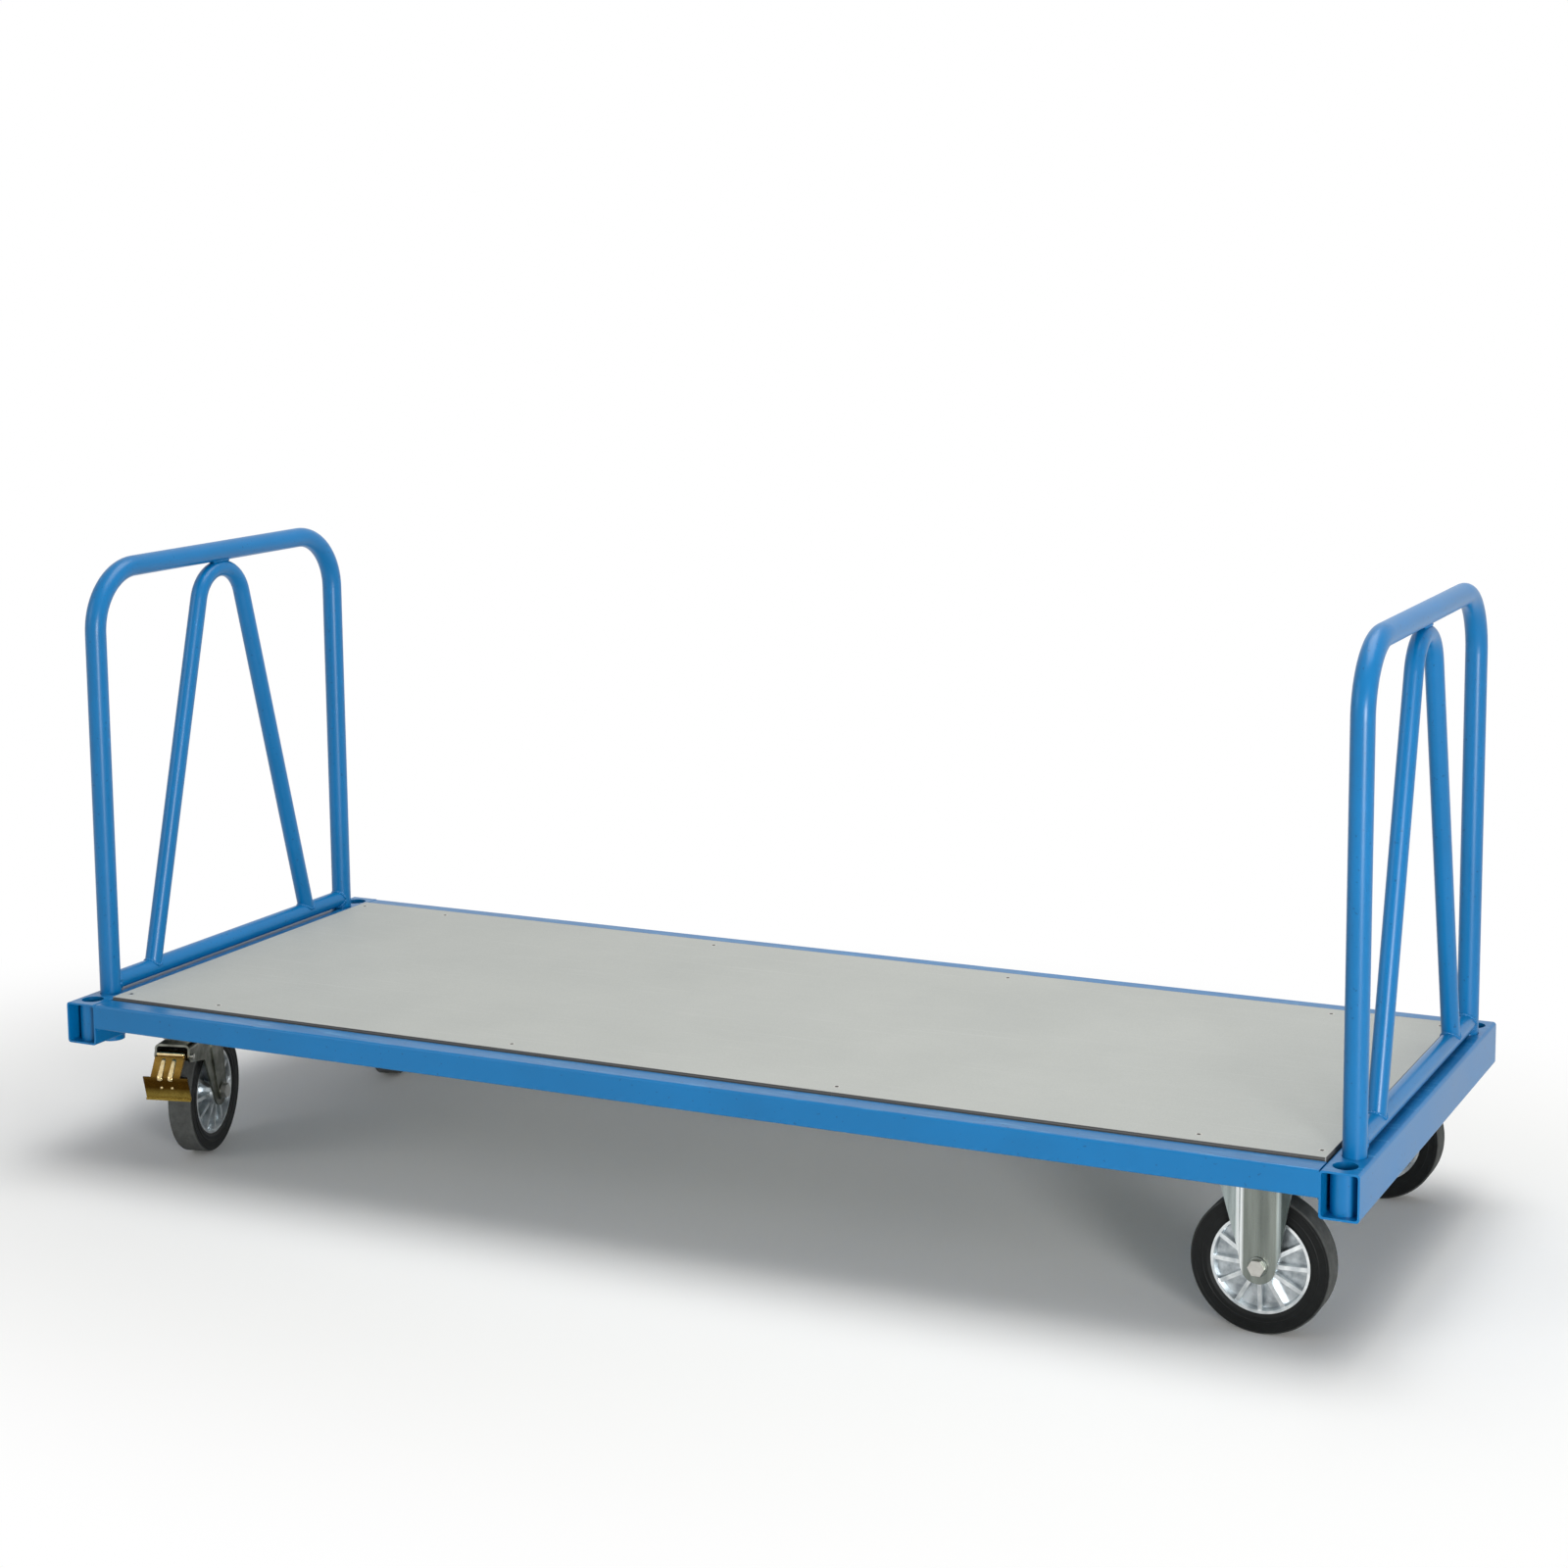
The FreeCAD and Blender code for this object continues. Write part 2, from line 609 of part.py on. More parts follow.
def castor_bolts():
    """Hexagon bolts dropped through the mount plates from above."""
    body = new_body("castor_bolts")
    shanks = sketch_on(body, "XY_Plane")
    heads = sketch_on(body, "XY_Plane")
    for x, y, _ in bolt_places():
        circle(shanks, x, y, cell.bolt_radius)
        hexagon(heads, x, y, cell.bolt_flats)
    pad(shanks, cell.bolt_length, back=True)
    pad(heads, cell.bolt_head)
    return place(body, 0, 0, cell.castor_height + cell.mount_thickness)


def castor_nuts():
    """Nuts under the castor plates."""
    body = new_body("castor_nuts")
    for depth in (cell.swivel_plate, cell.fixed_plate):
        nuts = sketch_on(body, "XY_Plane", -depth)
        for x, y, own_depth in bolt_places():
            if own_depth is depth:
                hexagon(nuts, x, y, cell.bolt_flats)
                circle(nuts, x, y, cell.bolt_radius)
        pad(nuts, cell.nut_height, back=True)
    return place(body, 0, 0, cell.castor_height)


def plate_blank(body, depth, *holes):
    """Castor top plate with its bolt holes and any hole at its centre."""
    blank = sketch_on(body, "XY_Plane", cell.castor_height)
    rectangle(blank, cell.plate_length / 2, cell.plate_width / 2, cell.plate_corner)
    bolt_circles(blank, cell.bolt_radius)
    for radius in holes:
        circle(blank, 0, 0, radius)
    pad(blank, depth, back=True)


def cross_hole(body, x, z, radius):
    """A hole right across a fork."""
    hole = sketch_on(body, "XZ_Plane")
    circle(hole, x, z, radius)
    pocket(hole, symmetric=True)


def fixed_fork(label, side):
    """Pressed fork in one piece with its plate: each leg has a raised band between flanks that flare out."""
    body = new_body(label)
    plate_blank(body, cell.fixed_plate)
    under = cell.castor_height - cell.fixed_plate
    edge = cell.flank_half
    band = cell.fork_gap + cell.fork_sheet
    root = band - cell.band_rise
    bends = [(cell.band_half, band), (cell.band_half + cell.band_slope, root)]
    outer = bends + [(edge, root + cell.flank_rise)]
    outline = [(-x, y) for x, y in reversed(outer)] + outer
    section = sketch_on(body, "XY_Plane", under)
    for _, leg in SIDES:
        path(section, [(x, y * leg) for x, y in outline]
             + [(x, (y - cell.fork_sheet) * leg) for x, y in reversed(outline)])
    pad(section, under - cell.wheel_radius + cell.eye_radius, back=True)
    round_uprights(body, cell.bend_radius, bends + [(x, y - cell.fork_sheet) for x, y in bends])
    outside = sketch_on(body, "XZ_Plane")
    reach = edge + OVERCUT
    low = cell.wheel_radius - cell.eye_radius - OVERCUT
    path(outside, [(-reach, under), (-edge, under), (0, cell.wheel_radius, cell.eye_radius), (edge, under),
                   (reach, under), (reach, low), (-reach, low)])
    pocket(outside, symmetric=True)
    cross_hole(body, 0, cell.wheel_radius, cell.axle_radius)
    return place(body, castor_x["right"], castor_y * side, 0)


def axle_bolt(label, seat, x, y, turn=None):
    """Hexagon bolt across a fork: its head stands on the outer face at the seat distance."""
    body = new_body(label)
    shank = sketch_on(body, "XZ_Plane", seat)
    circle(shank, 0, 0, cell.axle_radius)
    pad(shank, seat * 2 + cell.axle_nut + cell.axle_end, back=True)
    head = sketch_on(body, "XZ_Plane", seat)
    hexagon(head, 0, 0, cell.axle_flats)
    pad(head, cell.axle_head)
    return place(body, x, y, cell.wheel_radius, turn)


def nut_on_axle(nut, x, y, z, seat):
    """A nut against a fork's far face, drawn about the axle x, z at the distance y along the cart's width."""
    section = sketch_on(nut, "XZ_Plane", -(as_size(y) + seat))
    hexagon(section, x, z, cell.axle_flats)
    circle(section, x, z, cell.axle_radius)
    pad(section, cell.axle_nut, back=True)


def swivel_plate(label, side):
    """Top plate with the upper ball race of the swivel head under it."""
    body = new_body(label)
    plate_blank(body, cell.swivel_plate, cell.kingpin_radius)
    race = sketch_on(body, "XY_Plane", cell.race_bottom)
    circle(race, 0, 0, cell.race_radius)
    circle(race, 0, 0, cell.kingpin_radius)
    pad(race, cell.castor_height - cell.swivel_plate - cell.race_bottom)
    return place(body, castor_x["left"], castor_y * side, 0)


def swivel_kingpin(label, side):
    """Kingpin held in the plate, with the nut that carries the fork's crown."""
    body = new_body(label)
    nut_top = cell.crown_top - cell.fork_sheet - cell.seat_gap
    pin = sketch_on(body, "XY_Plane", nut_top)
    circle(pin, 0, 0, cell.kingpin_radius)
    pad(pin, cell.castor_height - nut_top)
    nut = sketch_on(body, "XY_Plane", nut_top)
    hexagon(nut, 0, 0, cell.kingpin_flats)
    pad(nut, cell.kingpin_nut, back=True)
    return place(body, castor_x["left"], castor_y * side, 0)


def swivel_fork(label, side, turn):
    """Pressed fork that trails behind its swivel axis, with the head's cup on its crown."""
    body = new_body(label)
    out = cell.fork_gap + cell.fork_sheet
    bottom = cell.wheel_radius - cell.swivel_eye
    front = cell.pedal_pin_x + cell.pedal_ear
    bend_in = cell.crown_bend - cell.fork_sheet
    shoulder = cell.crown_top - cell.crown_bend
    section = sketch_on(body, "YZ_Plane", -front)
    path(section, [(out, bottom), (out - cell.crown_bend, shoulder, cell.crown_bend),
                   (-(out - cell.crown_bend), shoulder, cell.crown_bend), (-out, bottom),
                   (-cell.fork_gap, bottom), (-(out - cell.crown_bend), shoulder, -bend_in),
                   (out - cell.crown_bend, shoulder, -bend_in), (cell.fork_gap, bottom)])
    pad(section, front + cell.trail + cell.swivel_eye)
    outside = sketch_on(body, "XZ_Plane")
    high = cell.crown_top + OVERCUT
    far_back = cell.trail + cell.swivel_eye + OVERCUT
    far_front = -front - OVERCUT
    path(outside, [(far_front, bottom - OVERCUT), (far_back, bottom - OVERCUT),
                   (far_back, high + OVERCUT), (far_front, high + OVERCUT)])
    path(outside, [(cell.crown_back, high), (-cell.crown_front, high),
                   (-cell.crown_front, cell.pedal_pin_z + cell.pedal_ear),
                   (-cell.pedal_pin_x, cell.pedal_pin_z, cell.pedal_ear),
                   (cell.leg_front, cell.crown_top - cell.leg_front_drop),
                   (cell.trail, cell.wheel_radius, cell.swivel_eye)])
    pocket(outside, symmetric=True)
    for _, leg in SIDES:
        bead = sketch_on(body, "XZ_Plane", out * -leg)
        path(bead, [(cell.bead_offset, cell.bead_top, cell.bead_radius),
                    (cell.trail, cell.wheel_radius, cell.bead_radius)])
        pad(bead, cell.bead_rise, back=leg > 0)
    bore = cell.kingpin_radius + cell.axle_play
    hole = sketch_on(body, "XY_Plane", cell.crown_top)
    circle(hole, 0, 0, bore)
    pocket(hole, cell.fork_sheet * 2)
    cup = sketch_on(body, "XZ_Plane")
    floor = cell.crown_top + cell.cup_floor
    inside = cell.cup_radius - cell.cup_wall
    path(cup, [(bore, cell.crown_top), (cell.cup_radius, cell.crown_top), (cell.cup_radius, cell.cup_top),
               (inside, cell.cup_top), (inside, floor), (bore, floor)])
    revolve(cup)
    cross_hole(body, cell.trail, cell.wheel_radius, cell.axle_radius)
    cross_hole(body, -cell.pedal_pin_x, cell.pedal_pin_z, cell.pedal_pin_radius)
    return place(body, castor_x["left"], castor_y * side, 0, turn)


def pedal_pin(label, side, turn):
    """Pin across the fork's front arms, on which the pedal turns."""
    body = new_body(label)
    section = sketch_on(body, "XZ_Plane")
    circle(section, -cell.pedal_pin_x, cell.pedal_pin_z, cell.pedal_pin_radius)
    pad(section, (cell.fork_gap + cell.fork_sheet * 2) * 2, symmetric=True)
    return place(body, castor_x["left"], castor_y * side, 0, turn)


def brake_pedal(label, side, turn):
    """Stamped pedal: a rolled eye, a ribbed neck, a leaning foot and a tongue to the tyre."""
    body = new_body(label)
    sheet_half = cell.pedal_sheet / 2
    back = -(cell.pedal_foot_x - sheet_half)
    face = -(cell.pedal_foot_x + sheet_half)
    knee = cell.pedal_neck_x
    eye_top = cell.pedal_pin_z + cell.pedal_barrel
    eye = sketch_on(body, "XZ_Plane")
    circle(eye, -cell.pedal_pin_x, cell.pedal_pin_z, cell.pedal_barrel)
    pad(eye, cell.pedal_neck, symmetric=True)
    neck = sketch_on(body, "XZ_Plane")
    path(neck, [(back, cell.pedal_foot_top),
                (-(knee - cell.pedal_sheet), cell.pedal_neck_z - cell.pedal_sheet),
                (-cell.pedal_pin_x, eye_top - cell.pedal_sheet), (-cell.pedal_pin_x, eye_top),
                (-(knee + sheet_half), cell.pedal_neck_z), (face, cell.pedal_foot_top)])
    pad(neck, cell.pedal_neck, symmetric=True)
    foot = sketch_on(body, "XZ_Plane")
    curl_x = face + cell.pedal_lean - cell.pedal_curl
    tip_x = curl_x - cell.pedal_lip
    tip_z = cell.pedal_foot_low - cell.pedal_curl
    path(foot, [(back, cell.pedal_foot_top), (face, cell.pedal_foot_top),
                (curl_x, cell.pedal_foot_low, -(cell.pedal_curl - cell.pedal_sheet)),
                (tip_x, tip_z + cell.pedal_sheet), (tip_x, tip_z),
                (curl_x, cell.pedal_foot_low, cell.pedal_curl)])
    pad(foot, cell.pedal_foot, symmetric=True)
    crest = face - cell.pedal_rib_rise
    for _, rib_side in SIDES:
        rib = sketch_on(body, "XZ_Plane", cell.pedal_rib_y * rib_side)
        path(rib, [(-cell.pedal_foot_x, cell.pedal_foot_top - cell.pedal_rib_reach),
                   (crest, cell.pedal_foot_top - cell.pedal_rib_reach / 2), (crest, cell.pedal_foot_top),
                   (-(knee + sheet_half + cell.pedal_rib_rise), cell.pedal_neck_z - cell.pedal_sheet),
                   (-knee, cell.pedal_neck_z - sheet_half)])
        pad(rib, cell.pedal_rib, symmetric=True)
    tongue = sketch_on(body, "XZ_Plane")
    path(tongue, [(cell.pedal_lean / 2 - cell.pedal_foot_x, cell.shoe_low), (-cell.shoe_reach, cell.shoe_low),
                  (-cell.shoe_reach, cell.shoe_top), (cell.pedal_lean / 4 - cell.pedal_foot_x, cell.shoe_top)])
    pad(tongue, cell.shoe_width, symmetric=True)
    cross_hole(body, -cell.pedal_pin_x, cell.pedal_pin_z, cell.pedal_pin_radius + cell.axle_play)
    return place(body, castor_x["left"], castor_y * side, 0, turn)


def wheel_rim(label, x, y, turn=None):
    """Die-cast rim: hub, web and tyre bed turned about the axle, with radial ribs standing on both sides."""
    body = new_body(label)
    section = sketch_on(body, "XY_Plane")
    seat = cell.hub_half - cell.bearing_width
    shoulder = cell.bearing_radius - cell.bearing_race
    upper = [(cell.bearing_radius, cell.hub_half), (cell.bearing_radius, seat), (shoulder, seat)]
    flange = [(cell.rim_seat, cell.rim_half), (cell.rim_bed, cell.rim_half),
              (cell.rim_bed - cell.rim_draft, cell.web_half), (cell.hub_radius + cell.rim_draft, cell.web_half),
              (cell.hub_radius, cell.hub_half)]
    top = flange + upper
    path(section, top + [(r, -along) for r, along in reversed(top)])
    revolve(section)
    rib = sketch_on(body, "XY_Plane")
    root = cell.hub_radius - cell.rim_draft
    rim = cell.rim_bed + cell.rim_draft
    path(rib, [(root, -cell.rib_inner), (rim, -cell.rib_outer), (rim, cell.rib_outer), (root, cell.rib_inner)])
    first_rib = pad(rib, cell.rib_thickness, symmetric=True)
    ribs = body.newObject("PartDesign::PolarPattern", label + "_ribs")
    ribs.Originals = [first_rib]
    ribs.Axis = (next(line for line in body.Origin.OriginFeatures if line.Role == "Y_Axis"), [""])
    ribs.Angle = 360
    ribs.setExpression("Occurrences", cell.rib_count.text)
    body.Tip = ribs
    return place(body, x, y, cell.wheel_radius, turn)


def wheel_tyre(label, x, y, turn=None):
    """Solid rubber tyre with rounded shoulders, bonded on the rim's bed."""
    body = new_body(label)
    section = sketch_on(body, "XY_Plane")
    crown = cell.wheel_radius - cell.tyre_shoulder
    edge = cell.tyre_half - cell.tyre_shoulder
    path(section, [(cell.rim_seat, -cell.rim_half), (cell.tyre_side, -cell.tyre_half),
                   (crown, -edge, cell.tyre_shoulder), (crown, edge, cell.tyre_shoulder),
                   (cell.tyre_side, cell.tyre_half), (cell.rim_seat, cell.rim_half)])
    revolve(section)
    return place(body, x, y, cell.wheel_radius, turn)


def wheel_bearings(label, x, y, turn=None):
    """Two shielded ball bearings in the ends of the hub."""
    body = new_body(label)
    section = sketch_on(body, "XY_Plane")
    bore = cell.axle_radius + cell.axle_play
    inner = cell.hub_half - cell.bearing_width
    shield = cell.hub_half - cell.bearing_recess
    race_in = bore + cell.bearing_race
    race_out = cell.bearing_radius - cell.bearing_race
    ring = [(bore, inner), (cell.bearing_radius, inner), (cell.bearing_radius, cell.hub_half),
            (race_out, cell.hub_half), (race_out, shield), (race_in, shield), (race_in, cell.hub_half),
            (bore, cell.hub_half)]
    for _, end in SIDES:
        path(section, [(r, along * end) for r, along in ring])
    revolve(section)
    return place(body, x, y, cell.wheel_radius, turn)


def turned(size, angle, function):
    """A length times the sine or cosine of an angle of the sheet."""
    factor = {"cos": math.cos, "sin": math.sin}[function](math.radians(angle.number))
    return Size(size.number * factor, f"({size.text} * {function}({angle.text} * 1 deg))")


def wheel(name, x, y, turn=None):
    """The three pieces that turn on an axle."""
    return [wheel_rim(f"wheel_rim_{name}", x, y, turn), wheel_tyre(f"wheel_tyre_{name}", x, y, turn),
            wheel_bearings(f"wheel_bearings_{name}", x, y, turn)]


nodes = []
for end, sign in ENDS:
    drop = {"left": cell.sleeve_drop_left, "right": cell.sleeve_drop_right}[end]
    nodes.append(end_beam(f"end_beam_{end}", sign))
    nodes.append(corner_sockets(f"corner_sockets_{end}", sign))
    nodes.append(leg_sleeves(f"leg_sleeves_{end}", sign, drop))
    nodes.append(push_bow(f"push_bow_{end}", sign))
    nodes.append(push_crossbar(f"push_crossbar_{end}", sign))
    nodes.append(push_brace(f"push_brace_{end}", sign))
    for name, side in SIDES:
        nodes.append(castor_mount(f"castor_mount_{end}_{name}", castor_x[end], side))
for name, side in SIDES:
    nodes.append(side_rail(f"side_rail_{name}", side))
for number, x in enumerate(cross_places(), start=1):
    nodes.append(cross_member(f"cross_member_{number}", x))
nodes += [deck_board(), deck_screws(), stop_pins(), castor_bolts(), castor_nuts()]

fixed_seat = cell.fork_gap + cell.fork_sheet
swivel_seat = fixed_seat + cell.bead_rise
fixed_nuts = new_body("fixed_axle_nuts")
nodes.append(fixed_nuts)
for name, side in SIDES:
    y = castor_y * side
    nodes.append(fixed_fork(f"fixed_fork_{name}", side))
    nodes.append(axle_bolt(f"fixed_axle_{name}", fixed_seat, castor_x["right"], y))
    nut_on_axle(fixed_nuts, castor_x["right"], y, cell.wheel_radius, fixed_seat)
    nodes += wheel(f"fixed_{name}", castor_x["right"], y)

turns = {"near": cell.swivel_turn_near, "far": cell.swivel_turn_far}
for name, side in SIDES:
    turn = turns[name]
    x = turned(cell.trail, turn, "cos") + castor_x["left"]
    y = turned(cell.trail, turn, "sin") + castor_y * side
    nodes.append(swivel_plate(f"swivel_plate_{name}", side))
    nodes.append(swivel_kingpin(f"swivel_kingpin_{name}", side))
    nodes.append(swivel_fork(f"swivel_fork_{name}", side, turn))
    nodes.append(axle_bolt(f"swivel_axle_{name}", swivel_seat, x, y, turn))
    nut = new_body(f"swivel_axle_nut_{name}")
    nut_on_axle(nut, 0, 0, 0, swivel_seat)
    nodes.append(place(nut, x, y, cell.wheel_radius, turn))
    nodes.append(pedal_pin(f"pedal_pin_{name}", side, turn))
    nodes.append(brake_pedal(f"brake_pedal_{name}", side, turn))
    nodes += wheel(f"swivel_{name}", x, y, turn)

doc.recompute()
for thing in doc.Objects:
    if {"Invalid", "Error"} & set(thing.State):
        raise RuntimeError(f"{thing.Label} did not build: {thing.State}")
for node in nodes:
    if node.Shape.isNull() or not node.Shape.isValid():
        raise RuntimeError(f"{node.Label} has no valid shape")

os.makedirs("parts", exist_ok=True)
for node in nodes:
    node.Shape.exportStep(f"parts/{node.Label}.step")
    print(node.Label, len(node.Shape.Solids), f"{node.Shape.Volume / 1000:.1f} cm3")
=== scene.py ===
import math

import bmesh
import bpy
import numpy as np
from mathutils import Matrix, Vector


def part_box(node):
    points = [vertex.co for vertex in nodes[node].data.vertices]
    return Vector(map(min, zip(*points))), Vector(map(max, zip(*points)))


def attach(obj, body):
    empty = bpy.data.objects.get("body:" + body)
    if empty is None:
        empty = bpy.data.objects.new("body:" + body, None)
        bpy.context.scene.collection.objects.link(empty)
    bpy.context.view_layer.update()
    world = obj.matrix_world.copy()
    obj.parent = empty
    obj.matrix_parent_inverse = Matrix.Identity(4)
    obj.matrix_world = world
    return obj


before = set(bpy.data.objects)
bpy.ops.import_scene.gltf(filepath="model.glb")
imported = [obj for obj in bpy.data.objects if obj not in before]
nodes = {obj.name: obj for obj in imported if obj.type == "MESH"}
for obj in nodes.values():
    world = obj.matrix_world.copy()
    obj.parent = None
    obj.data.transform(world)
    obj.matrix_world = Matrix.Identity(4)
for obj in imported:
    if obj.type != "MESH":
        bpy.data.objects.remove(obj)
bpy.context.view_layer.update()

# Welded frame: two box-section end beams, two square-tube side rails and six cross members, with a mount
# plate for each castor, stake sockets in the corners and sleeves for the push bars. Mild steel, welded with
# short wire runs, then powder coated as one piece. All sizes are in metres.
ENDS = {"left": -1, "right": 1}
SIDES = {"near": -1, "far": 1}
MEMBERS = range(1, 7)
BEAM_X, BEAM_INNER_X, BEAM_LOW = 1.044, 1.016, 0.205
FRAME_Y, RAIL_INNER_Y = 0.403, 0.363
RAIL_LOW, RAIL_TOP = 0.232, 0.272
LEG_Y, SLEEVE_R = 0.3275, 0.020
BEAD_PITCH, BEAD_RIPPLE = 0.0034, 0.14
BEAD_STEP, BEAD_SIDES = 0.00085, 8
RAIL_BEAD, SLEEVE_BEAD, MEMBER_BEAD, MOUNT_BEAD = 0.0030, 0.0026, 0.0026, 0.0030
RAIL_BEAD_TOP, RAIL_BEAD_STOP = 0.258, 0.002
MEMBER_BEAD_STOP = 0.001
MOUNT_BEAD_STOP, MOUNT_BEAD_OFF = 0.010, 0.0008
CROSSWISE = (0.31, 0.53, 0.79)  # a direction that no weld run takes
MERGE_GAP, SLIVER = 1e-6, 1e-7


def linear(code):
    """Linear colour of an sRGB hex: c / 12.92 up to 0.04045, and ((c + 0.055) / 1.055) ** 2.4 above it."""
    srgb = np.array([int(code[k:k + 2], 16) for k in (1, 3, 5)]) / 255
    channels = np.where(srgb <= 0.04045, srgb / 12.92, ((srgb + 0.055) / 1.055) ** 2.4)
    return (*channels.tolist(), 1.0)


def add(tree, kind, inputs, **settings):
    """Adds a node, or feeds one that is there; an input is a plain value, or a node and its output."""
    node = tree.nodes.new(kind) if isinstance(kind, str) else kind
    for name, value in settings.items():
        setattr(node, name, value)
    for name, value in inputs.items():
        if isinstance(value, tuple) and isinstance(value[0], bpy.types.Node):
            tree.links.new(value[0].outputs[value[1]], node.inputs[name])
        else:
            node.inputs[name].default_value = value
    return node


def bare_finish(name):
    """A material with its node tree, its shader and a Texture Coordinate node."""
    made = bpy.data.materials.new(name)
    made.use_nodes = True
    tree = made.node_tree
    return made, tree, tree.nodes["Principled BSDF"], add(tree, "ShaderNodeTexCoord", {})


def dress(material, *names):
    """Gives CAD nodes a finish."""
    for name in names:
        for slot in nodes[name].material_slots:
            slot.material = material


# Polyester powder coat, baked: a hard glossy skin over a deep blue, with an orange peel of about 3 mm, a slow
# drift in tone where the coat is thinner, dark nibs of about 2 mm, and pale patches on the frame's top faces
# that are partly scuffs where loads slide over and partly a painted sheen.
paint, tree, shader, where = bare_finish("blue_powder_coat")
peel = add(tree, "ShaderNodeTexNoise", {"Vector": (where, "Object"), "Scale": 1 / 0.003, "Detail": 1.5})
drift = add(tree, "ShaderNodeTexNoise", {"Vector": (where, "Object"), "Scale": 1 / 0.18, "Detail": 4.0})
blue = add(tree, "ShaderNodeMix", {0: (drift, "Fac"), 6: linear("#006094"), 7: linear("#0272b0")},
           data_type="RGBA")
nib = add(tree, "ShaderNodeTexNoise", {"Vector": (where, "Object"), "Scale": 1 / 0.006, "Detail": 1.0})
nibs = add(tree, "ShaderNodeMapRange", {"Value": (nib, "Fac"), "From Min": 0.71, "From Max": 0.75,
                                        "To Max": 0.55})
specked = add(tree, "ShaderNodeMix", {0: (nibs, "Result"), 6: (blue, 2), 7: linear("#04456a")},
              data_type="RGBA")
parts = add(tree, "ShaderNodeSeparateXYZ", {0: (where, "Object")})
on_top = add(tree, "ShaderNodeMath", {0: (parts, "Z"), 1: RAIL_TOP, 2: 0.0008}, operation="COMPARE")
along = add(tree, "ShaderNodeMapping", {"Vector": (where, "Object"), "Scale": (1 / 0.060, 1 / 0.007, 1.0)})
rub = add(tree, "ShaderNodeTexNoise", {"Vector": (along, "Vector"), "Scale": 1.0, "Detail": 5.0,
                                       "Roughness": 0.65})
scuff_and_sheen_patches = add(tree, "ShaderNodeMapRange", {"Value": (rub, "Fac"), "From Min": 0.54, "From Max": 0.70,
                                        "To Max": 0.40})
# Pale patches on the top faces: partly scuffs, partly a painted sheen.
scuffs = add(tree, "ShaderNodeMath", {0: (on_top, 0), 1: (scuff_and_sheen_patches, "Result")}, operation="MULTIPLY")
coat = add(tree, "ShaderNodeMix", {0: (scuffs, 0), 6: (specked, 2), 7: linear("#6aaed8")}, data_type="RGBA")
gloss = add(tree, "ShaderNodeMapRange", {"Value": (drift, "Fac"), "To Min": 0.26, "To Max": 0.38})
skin = add(tree, "ShaderNodeBump", {"Height": (peel, "Fac"), "Strength": 0.035, "Distance": 0.0005})
add(tree, shader, {"Base Color": (coat, 2), "Roughness": (gloss, "Result"), "Normal": (skin, "Normal"),
                   "IOR": 1.5, "Specular IOR Level": 0.35})
dress(paint, *(name for name in nodes if name.startswith((
    "end_beam", "side_rail", "cross_member", "castor_mount", "corner_sockets", "leg_sleeves", "push_"))))


def surface(name, grids, material, body):
    """One smooth mesh out of grids of points, fixed to a body: quads join neighbours along the first
    parameter and round the second."""
    points, quads, base = [], [], 0
    for grid in grids:
        rows, columns = grid.shape[:2]
        row, column = np.meshgrid(np.arange(rows - 1), np.arange(columns), indexing="ij")
        here = base + row * columns + column
        onward = base + row * columns + (column + 1) % columns
        quads.append(np.stack([here, onward, onward + columns, here + columns], axis=-1).reshape(-1, 4))
        points.append(grid.reshape(-1, 3))
        base += rows * columns
    mesh = bpy.data.meshes.new(name)
    mesh.from_pydata(np.concatenate(points).tolist(), [], np.concatenate(quads).tolist())
    shape = bmesh.new()
    shape.from_mesh(mesh)
    bmesh.ops.remove_doubles(shape, verts=shape.verts, dist=MERGE_GAP)
    bmesh.ops.dissolve_degenerate(shape, edges=shape.edges, dist=SLIVER)
    bmesh.ops.recalc_face_normals(shape, faces=shape.faces)
    shape.to_mesh(mesh)
    shape.free()
    mesh.shade_smooth()
    mesh.materials.append(material)
    piece = bpy.data.objects.new(name, mesh)
    bpy.context.scene.collection.objects.link(piece)
    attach(piece, body)
    return piece


def unit(vectors):
    """Vectors divided by their own lengths."""
    return vectors / np.linalg.norm(vectors, axis=-1, keepdims=True)


def spaced(corners, step):
    """Arc lengths s a step apart along the straight runs between corners, and the points there."""
    corners = np.asarray(corners, float)
    lengths = np.concatenate(([0], np.cumsum(np.linalg.norm(np.diff(corners, axis=0), axis=1))))
    s = np.linspace(0, lengths[-1], int(lengths[-1] / step))
    return s, np.stack([np.interp(s, lengths, column) for column in corners.T], axis=1)


def drawn_in(s, reach):
    """Share of a full section at arc length s: the root of the way to the nearer end over reach, up to 1."""
    return np.sqrt(np.clip(np.minimum(s, s[-1] - s) / reach, 0, 1))


def weld_bead(corners, reach):
    """Weld run along corners: a tube of radius reach * (1 + ripple * cos(2 pi s / pitch)) at arc length s,
    drawn in at both ends."""
    s, line = spaced(corners, BEAD_STEP)
    tangent = unit(np.gradient(line, axis=0))
    across = unit(np.cross(tangent, CROSSWISE))
    upward = np.cross(across, tangent)
    radius = reach * drawn_in(s, reach) * (1 + BEAD_RIPPLE * np.cos(2 * np.pi * s / BEAD_PITCH))
    turn = np.linspace(0, 2 * np.pi, BEAD_SIDES, endpoint=False)
    ring = across[:, None] * np.cos(turn)[:, None] + upward[:, None] * np.sin(turn)[:, None]
    return line[:, None] + radius[:, None, None] * ring


def ring_path(x, y, z, radius):
    """Level circle about x, y: radius times the cosine and sine of the turn."""
    turn = np.linspace(0, 2 * np.pi, 73)
    return np.stack([x + radius * np.cos(turn), y + radius * np.sin(turn), np.full_like(turn, z)], axis=1)


